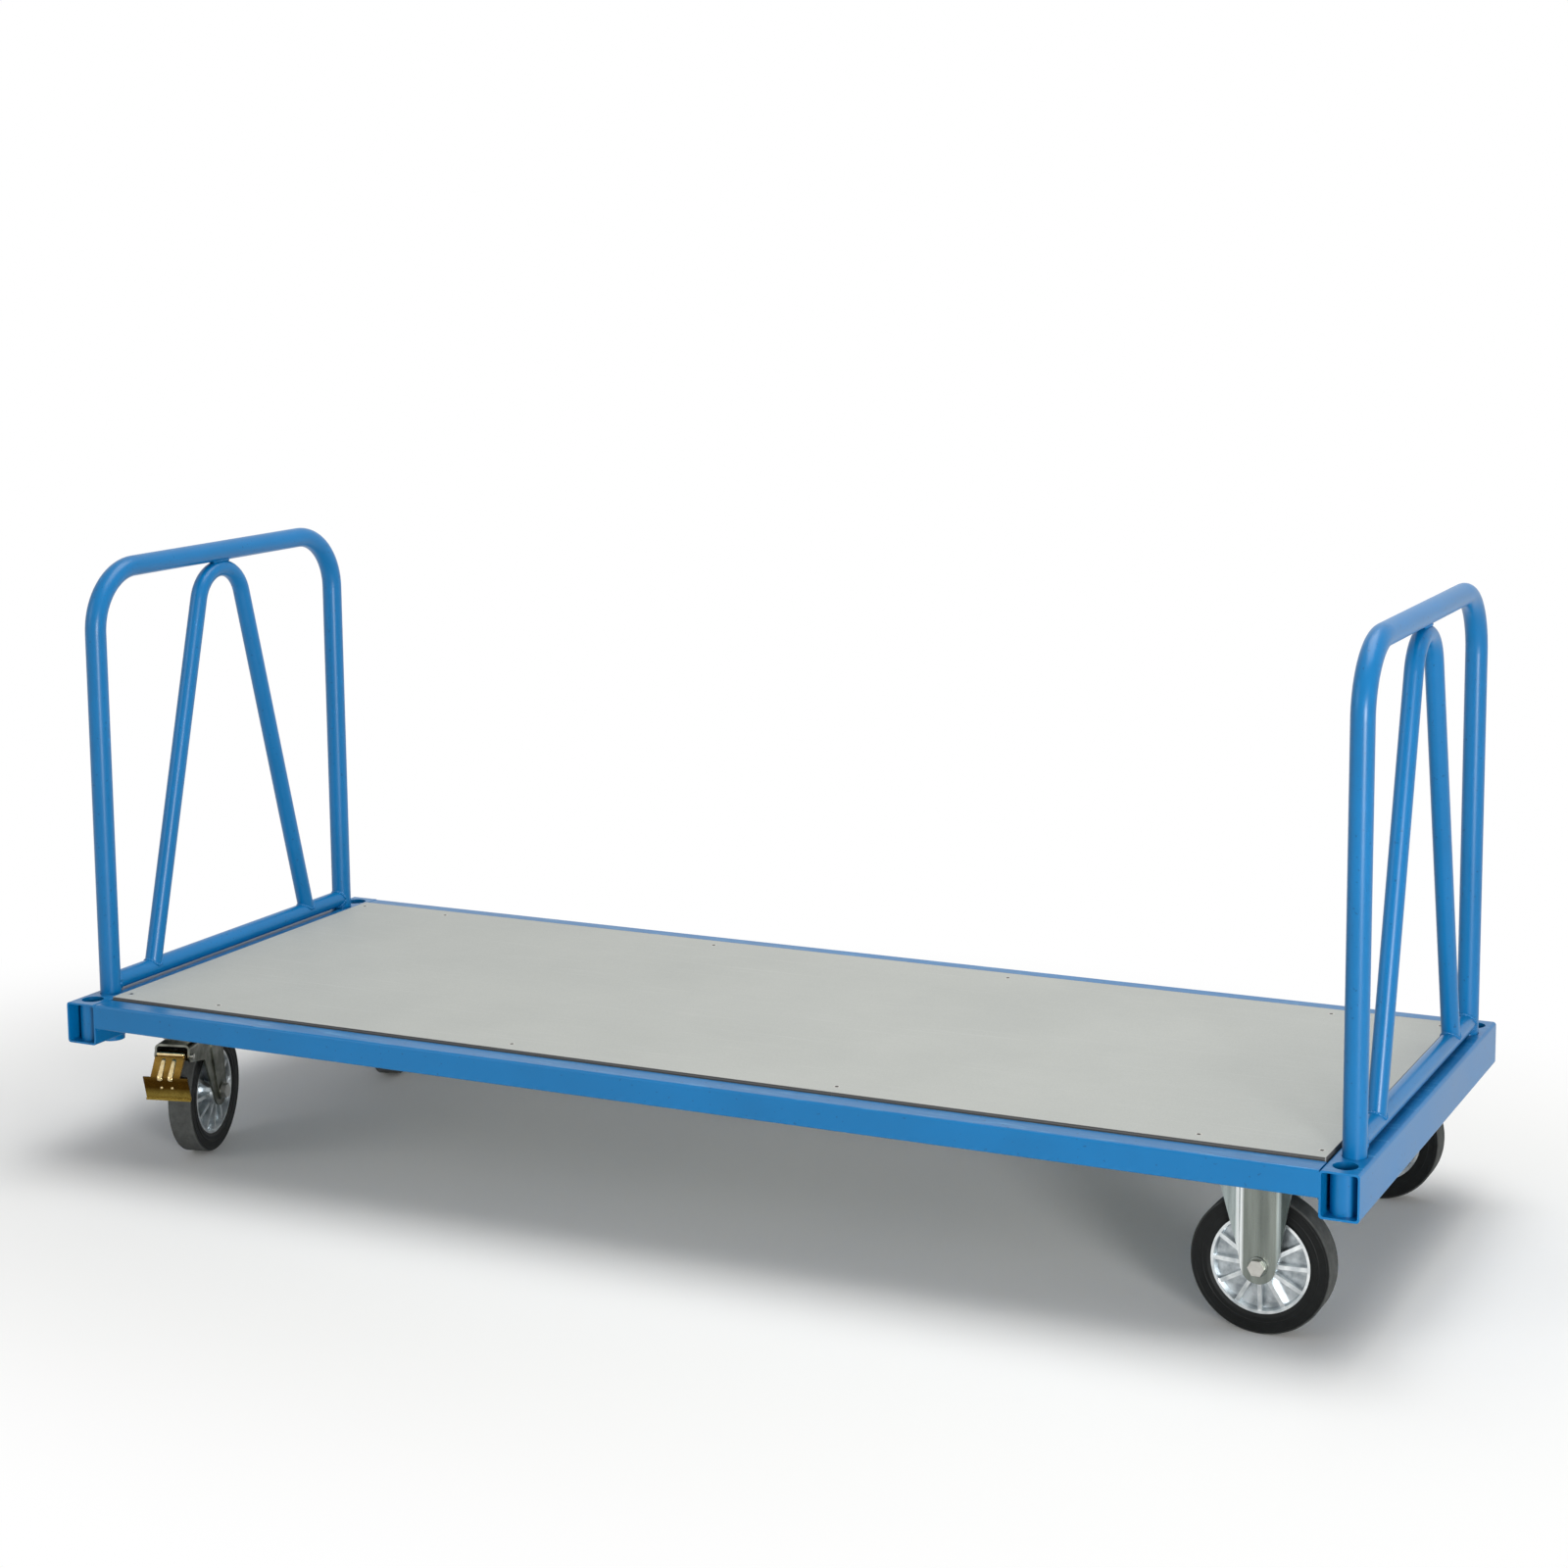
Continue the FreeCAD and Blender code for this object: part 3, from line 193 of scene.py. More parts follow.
runs = []
for end in ENDS.values():
    x = end * BEAM_INNER_X
    for side in SIDES.values():
        y = side * RAIL_INNER_Y
        outer_y = side * (FRAME_Y - RAIL_BEAD_STOP)
        runs.append(weld_bead([(x, y, RAIL_BEAD_TOP), (x, y, RAIL_LOW), (x, outer_y, RAIL_LOW)], RAIL_BEAD))
        runs.append(weld_bead(ring_path(end * BEAM_X, side * LEG_Y, BEAM_LOW, SLEEVE_R), SLEEVE_BEAD))
for number in MEMBERS:
    low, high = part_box(f"cross_member_{number}")
    top = high.z - MEMBER_BEAD_STOP
    for side in SIDES.values():
        y = side * RAIL_INNER_Y
        runs.append(weld_bead([(low.x, y, top), (low.x, y, low.z), (high.x, y, low.z), (high.x, y, top)],
                              MEMBER_BEAD))
for end in ENDS:
    for name, side in SIDES.items():
        low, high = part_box(f"castor_mount_{end}_{name}")
        y = (low.y if side < 0 else high.y) + side * MOUNT_BEAD_OFF
        z = high.z - MOUNT_BEAD_OFF
        runs.append(weld_bead([(low.x + MOUNT_BEAD_STOP, y, z), (high.x - MOUNT_BEAD_STOP, y, z)],
                              MOUNT_BEAD))
surface("frame_welds", runs, paint, "frame")

# Deck board: coated plywood let into the frame on the cross members, its sealed edge dark and a little proud
# of the rails, held by countersunk screws with a six-lobed drive.
BOARD_EDGE = 0.0006
SCREW_Y, SCREW_TOP = 0.333, 0.276
DRIVE_INNER, DRIVE_R, DRIVE_HALF = 0.0014, 0.0027, 0.00015
DRIVE_LOBES, DRIVE_WAVE = 6, 0.16
board_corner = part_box("deck_board")[1]
# Phenolic film pressed on with a mesh: pale warm grey, satin, with a 1.6 mm grain and faint scuffs along the
# deck, about 25 cm long and 7 mm wide.
board, tree, shader, where = bare_finish("grey_film_faced_plywood")
grain = add(tree, "ShaderNodeTexNoise", {"Vector": (where, "Object"), "Scale": 1 / 0.0016, "Detail": 2.0})
cloud = add(tree, "ShaderNodeTexNoise", {"Vector": (where, "Object"), "Scale": 1 / 0.30, "Detail": 5.0,
                                         "Roughness": 0.6})
along = add(tree, "ShaderNodeMapping", {"Vector": (where, "Object"), "Scale": (1 / 0.25, 1 / 0.0067, 1.0)})
scuff = add(tree, "ShaderNodeTexNoise", {"Vector": (along, "Vector"), "Scale": 1.0, "Detail": 6.0,
                                         "Roughness": 0.7})
scuffed = add(tree, "ShaderNodeMapRange", {"Value": (scuff, "Fac"), "From Min": 0.56, "From Max": 0.76,
                                           "To Max": 0.22})
film = add(tree, "ShaderNodeMix", {0: (cloud, "Fac"), 6: linear("#b1b4b0"), 7: linear("#c7c9c4")},
           data_type="RGBA")
speck = add(tree, "ShaderNodeMix", {0: (grain, "Fac"), 6: linear("#c9cbc8"), 7: linear("#ffffff")},
            data_type="RGBA")
grainy = add(tree, "ShaderNodeMix", {0: 0.5, 6: (film, 2), 7: (speck, 2)}, data_type="RGBA",
             blend_type="MULTIPLY")
worn = add(tree, "ShaderNodeMix", {0: (scuffed, "Result"), 6: (grainy, 2), 7: linear("#d4d5d2")},
           data_type="RGBA")
# Cut edge: plies about 1.4 mm thick under a grey sealing coat.
parts = add(tree, "ShaderNodeSeparateXYZ", {0: (where, "Object")})
ply = add(tree, "ShaderNodeTexWave", {"Vector": (where, "Object"), "Scale": 0.314 / 0.0028,
                                      "Distortion": 0.6}, bands_direction="Z")
plies = add(tree, "ShaderNodeMix", {0: (ply, "Fac"), 6: linear("#4b4a48"), 7: linear("#6d6a65")},
            data_type="RGBA")
reach_x = add(tree, "ShaderNodeMath", {0: (parts, "X")}, operation="ABSOLUTE")
reach_y = add(tree, "ShaderNodeMath", {0: (parts, "Y")}, operation="ABSOLUTE")
end_cut = add(tree, "ShaderNodeMath", {0: (reach_x, 0), 1: board_corner.x - BOARD_EDGE},
              operation="GREATER_THAN")
side_cut = add(tree, "ShaderNodeMath", {0: (reach_y, 0), 1: board_corner.y - BOARD_EDGE},
               operation="GREATER_THAN")
cut = add(tree, "ShaderNodeMath", {0: (end_cut, 0), 1: (side_cut, 0)}, operation="MAXIMUM")
faced = add(tree, "ShaderNodeMix", {0: (cut, 0), 6: (worn, 2), 7: (plies, 2)}, data_type="RGBA")
satin = add(tree, "ShaderNodeMapRange", {"Value": (cloud, "Fac"), "To Min": 0.52, "To Max": 0.66})
mesh_print = add(tree, "ShaderNodeBump", {"Height": (grain, "Fac"), "Strength": 0.12, "Distance": 0.0004})
add(tree, shader, {"Base Color": (faced, 2), "Roughness": (satin, "Result"), "Normal": (mesh_print, "Normal"),
                   "IOR": 1.5, "Specular IOR Level": 0.25})
dress(board, "deck_board")

# Bright zinc on turned steel: a pale, slightly warm metal whose shine clouds over in patches of about 6 mm.
plated, tree, shader, where = bare_finish("bright_zinc_plated_steel")
cloud = add(tree, "ShaderNodeTexNoise", {"Vector": (where, "Object"), "Scale": 1 / 0.006, "Detail": 4.0})
zinc = add(tree, "ShaderNodeMix", {0: (cloud, "Fac"), 6: linear("#a9a8a3"), 7: linear("#d3d1cb")},
           data_type="RGBA")
shine = add(tree, "ShaderNodeMapRange", {"Value": (cloud, "Fac"), "To Min": 0.24, "To Max": 0.42})
add(tree, shader, {"Base Color": (zinc, 2), "Roughness": (shine, "Result"), "Metallic": 1.0})
dress(plated, *(name for name in nodes if name.startswith((
    "deck_screws", "leg_stop_pins", "castor_bolts", "castor_nuts", "fixed_axle", "swivel_kingpin",
    "swivel_axle", "pedal_pin"))))


def drive_recess(x, y):
    """Six-lobed mouth of a screw's drive: radius r (1 + 0.16 cos 6t), with r from 0 out to 2.7 mm over the
    head, 0.3 mm down, and back to 0 under it."""
    turn = np.linspace(0, 2 * np.pi, 36, endpoint=False)
    wave = 1 + DRIVE_WAVE * np.cos(DRIVE_LOBES * turn)
    radius = np.array((0.0, DRIVE_INNER, DRIVE_R, DRIVE_R, 0.0))[:, None] * wave
    level = SCREW_TOP + DRIVE_HALF * np.array((1, 1, 1, -1, -1))[:, None] + np.zeros_like(turn)
    return np.stack([x + radius * np.cos(turn), y + radius * np.sin(turn), level], axis=-1)


# Recess: near-black specks of about 1.5 mm, a painted shade standing in for the drive's hollow.
recess_painted_shade, tree, shader, where = bare_finish("steel_with_painted_recess_shade")
recess_specks = add(tree, "ShaderNodeTexNoise", {"Vector": (where, "Object"), "Scale": 1 / 0.0015, "Detail": 2.0})
# Near black: painted shade over a disc that has no real hollow.
black = add(tree, "ShaderNodeMix", {0: (recess_specks, "Fac"), 6: linear("#161412"), 7: linear("#3b3732")},
            data_type="RGBA")
matt = add(tree, "ShaderNodeMapRange", {"Value": (recess_specks, "Fac"), "To Min": 0.5, "To Max": 0.7})
add(tree, shader, {"Base Color": (black, 2), "Roughness": (matt, "Result"), "Metallic": 1.0})
recesses = []
for number in MEMBERS:
    low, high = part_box(f"cross_member_{number}")
    recesses += [drive_recess((low.x + high.x) / 2, side * SCREW_Y) for side in SIDES.values()]
surface("deck_screw_drives", recesses, recess_painted_shade, "frame")

# Push bars: a bent tube whose legs drop into the sleeves, a cross bar between the legs and a thinner tube
# bent to a V under the top bar. Steel tube, coped and welded all round, then powder coated with the frame's
# blue.
BOW_R, BOW_TOP = 0.01685, 0.967
BAR_R, BAR_Z = 0.0145, 0.2895
BRACE_R, BRACE_BEND, BRACE_SPREAD = 0.0140, 0.061, 0.218
BRACE_FOOT_Z, BRACE_BITE = 0.2915, 0.0015
BRACE_BEND_Z = BOW_TOP - BOW_R - BRACE_R + BRACE_BITE - BRACE_BEND
CROWN_HALF, CROWN_REACH = 0.021, 0.0235
CROWN_OUT, CROWN_SINK = 0.0078, 0.0006
BAR_BEAD, BRACE_BEAD, CROWN_BEAD = 0.0027, 0.0024, 0.0022
SEAM_POINTS, CROWN_POINTS = 97, 25


def bar_seam(x, side):
    """Where the cross bar meets a leg: y = leg - sqrt(R2 - (r cos t)2), with r the bar's radius and R the
    leg's."""
    turn = np.linspace(0, 2 * np.pi, SEAM_POINTS)
    y = side * (LEG_Y - np.sqrt(BOW_R ** 2 - (BAR_R * np.cos(turn)) ** 2))
    return np.stack([x + BAR_R * np.cos(turn), y, BAR_Z + BAR_R * np.sin(turn)], axis=1)


def brace_seam(x, side):
    """Where a brace foot meets the cross bar: on the foot's tube, at the height sqrt(R2 - (r cos t)2) over
    the bar's axis, with r the brace's radius and R the bar's."""
    rise = BRACE_BEND_Z - BRACE_FOOT_Z
    lean = math.atan2(BRACE_SPREAD, rise) - math.asin(BRACE_BEND / math.hypot(BRACE_SPREAD, rise))
    turn = np.linspace(0, 2 * np.pi, SEAM_POINTS)
    over = np.sqrt(BAR_R ** 2 - (BRACE_R * np.cos(turn)) ** 2)
    swing = BRACE_R * np.sin(turn)
    climb = (over + BAR_Z - BRACE_FOOT_Z - swing * math.sin(lean)) / math.cos(lean)
    y = BRACE_SPREAD + swing * math.cos(lean) - climb * math.sin(lean)
    return np.stack([x + BRACE_R * np.cos(turn), side * y, BAR_Z + over], axis=1)


def crown_seam(x, side):
    """Fillet beside the brace's bend along the top bar, at z = top - sqrt(R2 - d2) for the run's offset d,
    which follows an ellipse."""
    y = np.linspace(-CROWN_HALF, CROWN_HALF, CROWN_POINTS)
    offset = side * CROWN_OUT * np.sqrt(1 - (y / CROWN_REACH) ** 2)
    return np.stack([x + offset, y, BOW_TOP - np.sqrt(BOW_R ** 2 - offset ** 2) - CROWN_SINK], axis=1)


for name, end in ENDS.items():
    runs = [weld_bead(seam(end * BEAM_X, side), reach) for side in SIDES.values()
            for seam, reach in ((bar_seam, BAR_BEAD), (brace_seam, BRACE_BEAD), (crown_seam, CROWN_BEAD))]
    surface(f"push_bar_welds_{name}", runs, paint, f"push_bar_{name}")

# Fixed castors: a fork pressed in one piece with its top plate, four bolts through the mount plate, and a
# bolt for an axle with a washer under its head and its nut.
WHEEL_R, CASTOR_Y, FIXED_X = 0.100, 0.306, 0.9135
FIXED_SEAT, NUT_END = 0.030, 0.0124
BAND_HALF, BAND_BLEND = 0.0265, 0.002
# Widths of the painted highlight along one edge of the band.
EDGE_HIGHLIGHT_FULL, EDGE_HIGHLIGHT_END = 0.0020, 0.0065
WASHER_BORE, WASHER_R, WASHER_THICK, WASHER_BREAK = 0.0080, 0.0140, 0.0018, 0.0004
THREAD_CORE, THREAD_ROOT, THREAD_RISE = 0.0060, 0.0073, 0.00045
THREAD_PITCH, THREAD_TURNS = 0.00175, 2
AXLE_RING_STEPS = 64
# Pressed sheet, zinc plated and clear passivated: a cool silver with faint streaks about 16 mm wide down the
# legs, where the sheet was drawn, greyer on the raised band as a painted darker reflection, and a painted
# highlight along one edge of the band.
zinc_sheet, tree, shader, where = bare_finish("pressed_zinc_plated_sheet")
drawn = add(tree, "ShaderNodeMapping", {"Vector": (where, "Object"),
                                        "Scale": (1 / 0.016, 1 / 0.016, 1 / 0.20)})
streak = add(tree, "ShaderNodeTexNoise", {"Vector": (drawn, "Vector"), "Scale": 1.0, "Detail": 2.0})
tone = add(tree, "ShaderNodeMapRange", {"Value": (streak, "Fac"), "From Min": 0.30, "From Max": 0.70})
fine = add(tree, "ShaderNodeMapping", {"Vector": (where, "Object"),
                                       "Scale": (1 / 0.0011, 1 / 0.0011, 1 / 0.040)})
lines = add(tree, "ShaderNodeTexNoise", {"Vector": (fine, "Vector"), "Scale": 1.0, "Detail": 4.0,
                                         "Roughness": 0.6})
centred = add(tree, "ShaderNodeMapping", {"Vector": (where, "Object"), "Location": (-FIXED_X, 0.0, 0.0)})
parts = add(tree, "ShaderNodeSeparateXYZ", {0: (centred, "Vector")})
reach = add(tree, "ShaderNodeMath", {0: (parts, "X")}, operation="ABSOLUTE")
beside = add(tree, "ShaderNodeMapRange", {"Value": (reach, 0), "From Min": BAND_HALF - BAND_BLEND,
                                          "From Max": BAND_HALF + BAND_BLEND})
off_edge = add(tree, "ShaderNodeMath", {0: (parts, "X"), 1: BAND_HALF}, operation="ADD")
near_edge = add(tree, "ShaderNodeMath", {0: (off_edge, 0)}, operation="ABSOLUTE")
# Near-white line along one edge of the band: a painted highlight.
edge_highlight_mask = add(tree, "ShaderNodeMapRange", {"Value": (near_edge, 0), "From Min": EDGE_HIGHLIGHT_FULL,
                                               "From Max": EDGE_HIGHLIGHT_END, "To Min": 1.0, "To Max": 0.0})
# Band greyer than the flanks: a painted darker reflection.
band = add(tree, "ShaderNodeMix", {0: (tone, "Result"), 6: linear("#6b716c"), 7: linear("#8b918b")},
           data_type="RGBA")
flank = add(tree, "ShaderNodeMix", {0: (tone, "Result"), 6: linear("#717b79"), 7: linear("#9ea7a6")},
            data_type="RGBA")
band_shade_mix = add(tree, "ShaderNodeMix", {0: (beside, "Result"), 6: (band, 2), 7: (flank, 2)}, data_type="RGBA")
silver = add(tree, "ShaderNodeMix", {0: (edge_highlight_mask, "Result"), 6: (band_shade_mix, 2), 7: linear("#f2f6f6")},
             data_type="RGBA")
shine = add(tree, "ShaderNodeMapRange", {"Value": (lines, "Fac"), "To Min": 0.20, "To Max": 0.38})
stroke = add(tree, "ShaderNodeBump", {"Height": (lines, "Fac"), "Strength": 0.05, "Distance": 0.0003})
add(tree, shader, {"Base Color": (silver, 2), "Roughness": (shine, "Result"), "Normal": (stroke, "Normal"),
                   "Metallic": 1.0})
dress(zinc_sheet, "fixed_fork_near", "fixed_fork_far")


def turned_ring(profile, x, y, bearing, steps):
    """Ring swept by a profile of (radius, along the axle): the radius turns about the axle of a wheel at
    x, y that runs to the bearing angle in plan."""
    radius, along = np.array(profile).T
    turn = np.linspace(0, 2 * np.pi, steps + 1)[:, None]
    travel = np.array((math.cos(bearing), math.sin(bearing)))
    axle = np.array((-travel[1], travel[0]))
    plan = (along * np.ones_like(turn))[..., None] * axle - (radius * np.cos(turn))[..., None] * travel
    return np.concatenate([plan + (x, y), (WHEEL_R + radius * np.sin(turn))[..., None]], axis=-1)


def washer(seat, outward):
    """Flat washer on a fork's face: 14 mm outside radius, 1.8 mm thick, its rim broken by 0.4 mm."""
    face = seat + outward * WASHER_THICK
    rim = seat + outward * (WASHER_THICK - WASHER_BREAK)
    return [(WASHER_BORE, seat), (WASHER_R, seat), (WASHER_R, rim), (WASHER_R - WASHER_BREAK, face),
            (WASHER_BORE, face)]


def thread(start):
    """Rolled thread on an axle's end: ridges 0.45 mm high and 1.75 mm apart, along the axle from the nut's
    end at start."""
    quarter = np.arange(THREAD_TURNS * 4 + 1)
    along = start + quarter * THREAD_PITCH / 4
    height = THREAD_ROOT + THREAD_RISE * (quarter % 4 == 2)
    radius = np.pad(height, 1, constant_values=THREAD_CORE)
    return np.stack([radius, np.pad(along, 1, "edge")], axis=1)


def axle_rings(x, y, bearing, seat):
    """Washers on both faces of a fork, each a seat off the wheel's middle, and the thread past the nut."""
    return [turned_ring(profile, x, y, bearing, AXLE_RING_STEPS)
            for profile in (washer(-seat, -1), washer(seat, 1), thread(seat + NUT_END))]


wheels = {}
for name, side in SIDES.items():
    place = (FIXED_X, side * CASTOR_Y, 0.0)
    wheels[f"fixed_{name}"] = place
    rings = axle_rings(*place, FIXED_SEAT)
    surface(f"fixed_axle_washers_{name}", rings, zinc_sheet, "frame")

# Swivel castors: a pressed fork that turns on a ball race and trails its wheel, with a stamped brake pedal
# hinged in front of the fork's crown.
SWIVEL_X, TRAIL, SWIVEL_SEAT = -0.910, 0.060, 0.0325
TURNS = {"near": math.radians(104), "far": math.radians(292)}
FOOT_AHEAD, FOOT_TOP, FOOT_LOW, FOOT_IN = 0.0895, 0.164, 0.127, 0.012
LIP_TOP, FOOT_START = FOOT_LOW + 0.006, FOOT_LOW + 0.018
FOOT_END, NECK_START = FOOT_TOP - 0.006, FOOT_TOP + 0.012
RIB_LINE = ((0.0660, 0.1912), (0.0705, 0.1885), (0.0915, 0.1638), (0.0914, 0.1608), (0.0875, 0.1570))
RIB_Y, RIB_HALF, RIB_RISE, RIB_SINK = 0.009, 0.0044, 0.0017, 0.0005
RIB_STEP, RIB_EASE, RIB_TAPER = 0.000575, 4, 0.004
KNEE_AHEAD, KNEE_Z, KNEE_R = 0.0640, 0.1955, 0.0036
KNEE_HALF, KNEE_TAPER = 0.0245, 0.003
RIVET_R, RIVET_RISE, RIVET_SINK, RIVET_DOWN = 0.0024, 0.0013, 0.0002, 0.019
# Fork and plate: the same pressing in plain zinc, dulled to an olive grey by a thin passivation, in patches
# of 2 cm.
olive_sheet, tree, shader, where = bare_finish("dull_passivated_zinc_sheet")
bloom = add(tree, "ShaderNodeTexNoise", {"Vector": (where, "Object"), "Scale": 1 / 0.022, "Detail": 5.0,
                                         "Roughness": 0.6})
tone = add(tree, "ShaderNodeMapRange", {"Value": (bloom, "Fac"), "From Min": 0.34, "From Max": 0.66})
grey = add(tree, "ShaderNodeMix", {0: (tone, "Result"), 6: linear("#55564e"), 7: linear("#8b8d84")},
           data_type="RGBA")
shine = add(tree, "ShaderNodeMapRange", {"Value": (bloom, "Fac"), "To Min": 0.22, "To Max": 0.40})
add(tree, shader, {"Base Color": (grey, 2), "Roughness": (shine, "Result"), "Metallic": 1.0})
dress(olive_sheet, *(name for name in nodes if name.startswith(("swivel_fork", "swivel_plate"))))
# Pedal: stamped sheet with a thick yellow passivation in patches of a centimetre or two, dark brown on the
# upper foot as painted shade and a lighter olive gold on the lip and on the neck as painted reflection.
gold, tree, shader, where = bare_finish("yellow_passivated_sheet")
patch = add(tree, "ShaderNodeTexNoise", {"Vector": (where, "Object"), "Scale": 1 / 0.016, "Detail": 4.0,
                                         "Distortion": 0.8})
wiped = add(tree, "ShaderNodeTexNoise", {"Vector": (where, "Object"), "Scale": 1 / 0.004, "Detail": 4.0})
height = add(tree, "ShaderNodeSeparateXYZ", {0: (where, "Object")})
# Colour by height paints light and shade: the upper foot darker as painted shade, the lip and neck lighter as
# painted reflection.
on_foot = add(tree, "ShaderNodeMapRange", {"Value": (height, "Z"), "From Min": LIP_TOP,
                                           "From Max": FOOT_START})
on_neck = add(tree, "ShaderNodeMapRange", {"Value": (height, "Z"), "From Min": FOOT_END,
                                           "From Max": NECK_START})
lip = add(tree, "ShaderNodeMix", {0: (patch, "Fac"), 6: linear("#6a561e"), 7: linear("#a08a45")},
          data_type="RGBA")
foot = add(tree, "ShaderNodeMix", {0: (patch, "Fac"), 6: linear("#2e1c02"), 7: linear("#533809")},
           data_type="RGBA")
neck = add(tree, "ShaderNodeMix", {0: (patch, "Fac"), 6: linear("#634a18"), 7: linear("#94753a")},
           data_type="RGBA")
lower = add(tree, "ShaderNodeMix", {0: (on_foot, "Result"), 6: (lip, 2), 7: (foot, 2)}, data_type="RGBA")
yellow = add(tree, "ShaderNodeMix", {0: (on_neck, "Result"), 6: (lower, 2), 7: (neck, 2)}, data_type="RGBA")
shine = add(tree, "ShaderNodeMapRange", {"Value": (wiped, "Fac"), "To Min": 0.18, "To Max": 0.36})
add(tree, shader, {"Base Color": (yellow, 2), "Roughness": (shine, "Result"), "Metallic": 1.0})
dress(gold, "brake_pedal_near", "brake_pedal_far")
# Ribs, rivets and the roll across the knee: the same sheet in a paler gold, in patches of 6 mm, partly wear
# where shoes have thinned the passivation and partly a painted highlight.
wear_and_highlight_sheet, tree, shader, where = bare_finish("passivated_sheet_wear_and_highlight")
patch = add(tree, "ShaderNodeTexNoise", {"Vector": (where, "Object"), "Scale": 1 / 0.006, "Detail": 3.0})
# Paler gold: partly wear, partly a painted highlight on the ribs, rivets and knee roll.
bright = add(tree, "ShaderNodeMix", {0: (patch, "Fac"), 6: linear("#b39557"), 7: linear("#efe0b6")},
             data_type="RGBA")
shine = add(tree, "ShaderNodeMapRange", {"Value": (patch, "Fac"), "To Min": 0.16, "To Max": 0.30})
add(tree, shader, {"Base Color": (bright, 2), "Roughness": (shine, "Result"), "Metallic": 1.0})


def on_pedal(ahead, across, z, bearing, centre):
    """Points of a pedal, given ahead of the swivel axis, across the pedal and above the floor, turned to its
    bearing."""
    trail = np.array((math.cos(bearing), math.sin(bearing)))
    right = np.array((trail[1], -trail[0]))
    plan = np.array(centre) - ahead[..., None] * trail + across[..., None] * right
    return np.concatenate([plan, z[..., None]], axis=-1)


def pressed_rib(middle, bearing, centre):
    """Crown of a pressed rib: an ellipse with half-axes of 4.4 and 1.7 mm, carried from the pedal's knee to
    its foot on straight runs, with corners eased by a moving mean, and drawn in over 4 mm at both ends."""
    s, line = spaced(RIB_LINE, RIB_STEP)
    mean = np.full(2 * RIB_EASE + 1, 1 / (2 * RIB_EASE + 1))
    padded = np.pad(line, ((RIB_EASE, RIB_EASE), (0, 0)), "edge")
    eased = np.stack([np.convolve(column, mean, "valid") for column in padded.T], axis=1)
    tangent = unit(np.gradient(eased, axis=0))
    share = drawn_in(s, RIB_TAPER)[:, None]
    turn = np.linspace(0, 2 * np.pi, 24, endpoint=False)
    rise = RIB_RISE * share * np.sin(turn) - RIB_SINK
    ahead = eased[:, :1] - tangent[:, 1:] * rise
    z = eased[:, 1:] + tangent[:, :1] * rise
    return on_pedal(ahead, middle + RIB_HALF * share * np.cos(turn), z, bearing, centre)


def knee_roll(bearing, centre):
    """Roll across the knee: a tube of 3.6 mm radius along the neck's width, drawn in over 3 mm at both
    ends."""
    across = np.linspace(-KNEE_HALF, KNEE_HALF, 41)[:, None]
    radius = KNEE_R * drawn_in(across + KNEE_HALF, KNEE_TAPER)
    turn = np.linspace(0, 2 * np.pi, 24, endpoint=False)
    ahead = KNEE_AHEAD + radius * np.cos(turn)
    return on_pedal(ahead, across + np.zeros_like(ahead), KNEE_Z + radius * np.sin(turn), bearing, centre)


def rivet_head(across, bearing, centre):
    """Domed rivet on the pedal's leaning foot: radius 2.4 mm cos v and height 1.3 mm sin v over a flat base,
    tipped by the foot's lean."""
    lean = math.atan2(FOOT_IN, FOOT_TOP - FOOT_LOW)
    v = np.linspace(0, np.pi / 2, 9)
    turn = np.linspace(0, 2 * np.pi, 20, endpoint=False)
    radius = RIVET_R * np.concatenate(([0], np.cos(v)))[:, None]
    side = radius * np.cos(turn)
    down = radius * np.sin(turn)
    rise = RIVET_RISE * np.concatenate(([0], np.sin(v)))[:, None] * np.ones_like(turn) - RIVET_SINK
    ahead = FOOT_AHEAD - RIVET_DOWN * math.tan(lean) + rise * math.cos(lean) - down * math.sin(lean)
    z = FOOT_TOP - RIVET_DOWN - rise * math.sin(lean) - down * math.cos(lean)
    return on_pedal(ahead, across + side, z, bearing, centre)


for name, side in SIDES.items():
    bearing = TURNS[name]
    centre = (SWIVEL_X, side * CASTOR_Y)
    place = (centre[0] + TRAIL * math.cos(bearing), centre[1] + TRAIL * math.sin(bearing), bearing)
    wheels[f"swivel_{name}"] = place
    rings = axle_rings(*place, SWIVEL_SEAT)
    surface(f"swivel_axle_washers_{name}", rings, olive_sheet, f"swivel_{name}")
    stamped = [shape(middle, bearing, centre) for shape in (pressed_rib, rivet_head)
               for middle in (-RIB_Y, RIB_Y)]
    stamped.append(knee_roll(bearing, centre))
    surface(f"pedal_ribs_{name}", stamped, wear_and_highlight_sheet, f"pedal_{name}")

# Wheels: a die-cast aluminium rim with twelve ribs a side, two ball bearings pressed into its hub, and a
# solid rubber tyre vulcanised on the rim, with rings moulded on its sidewalls.
POCKET_Y, RIB_FACE_Y = 0.009, 0.017
TREAD_START, TREAD_FULL = WHEEL_R - 0.0030, WHEEL_R - 0.0006
SIDEWALL_Y, SIDEWALL_SINK = 0.020, 0.0002
SIDEWALL_RINGS = ((0.083, 0.0016, 0.0007), (0.094, 0.0009, 0.0005))
TYRE_RING_STEPS = 120
# Bearing: ground steel with a fine haze of about 2 mm, seen only past the hub.
bearing_steel, tree, shader, where = bare_finish("ground_bearing_steel")
haze = add(tree, "ShaderNodeTexNoise", {"Vector": (where, "Object"), "Scale": 1 / 0.002, "Detail": 2.0})
shine = add(tree, "ShaderNodeMapRange", {"Value": (haze, "Fac"), "To Min": 0.16, "To Max": 0.32})
add(tree, shader, {"Base Color": linear("#8d8f92"), "Roughness": (shine, "Result"), "Metallic": 1.0})


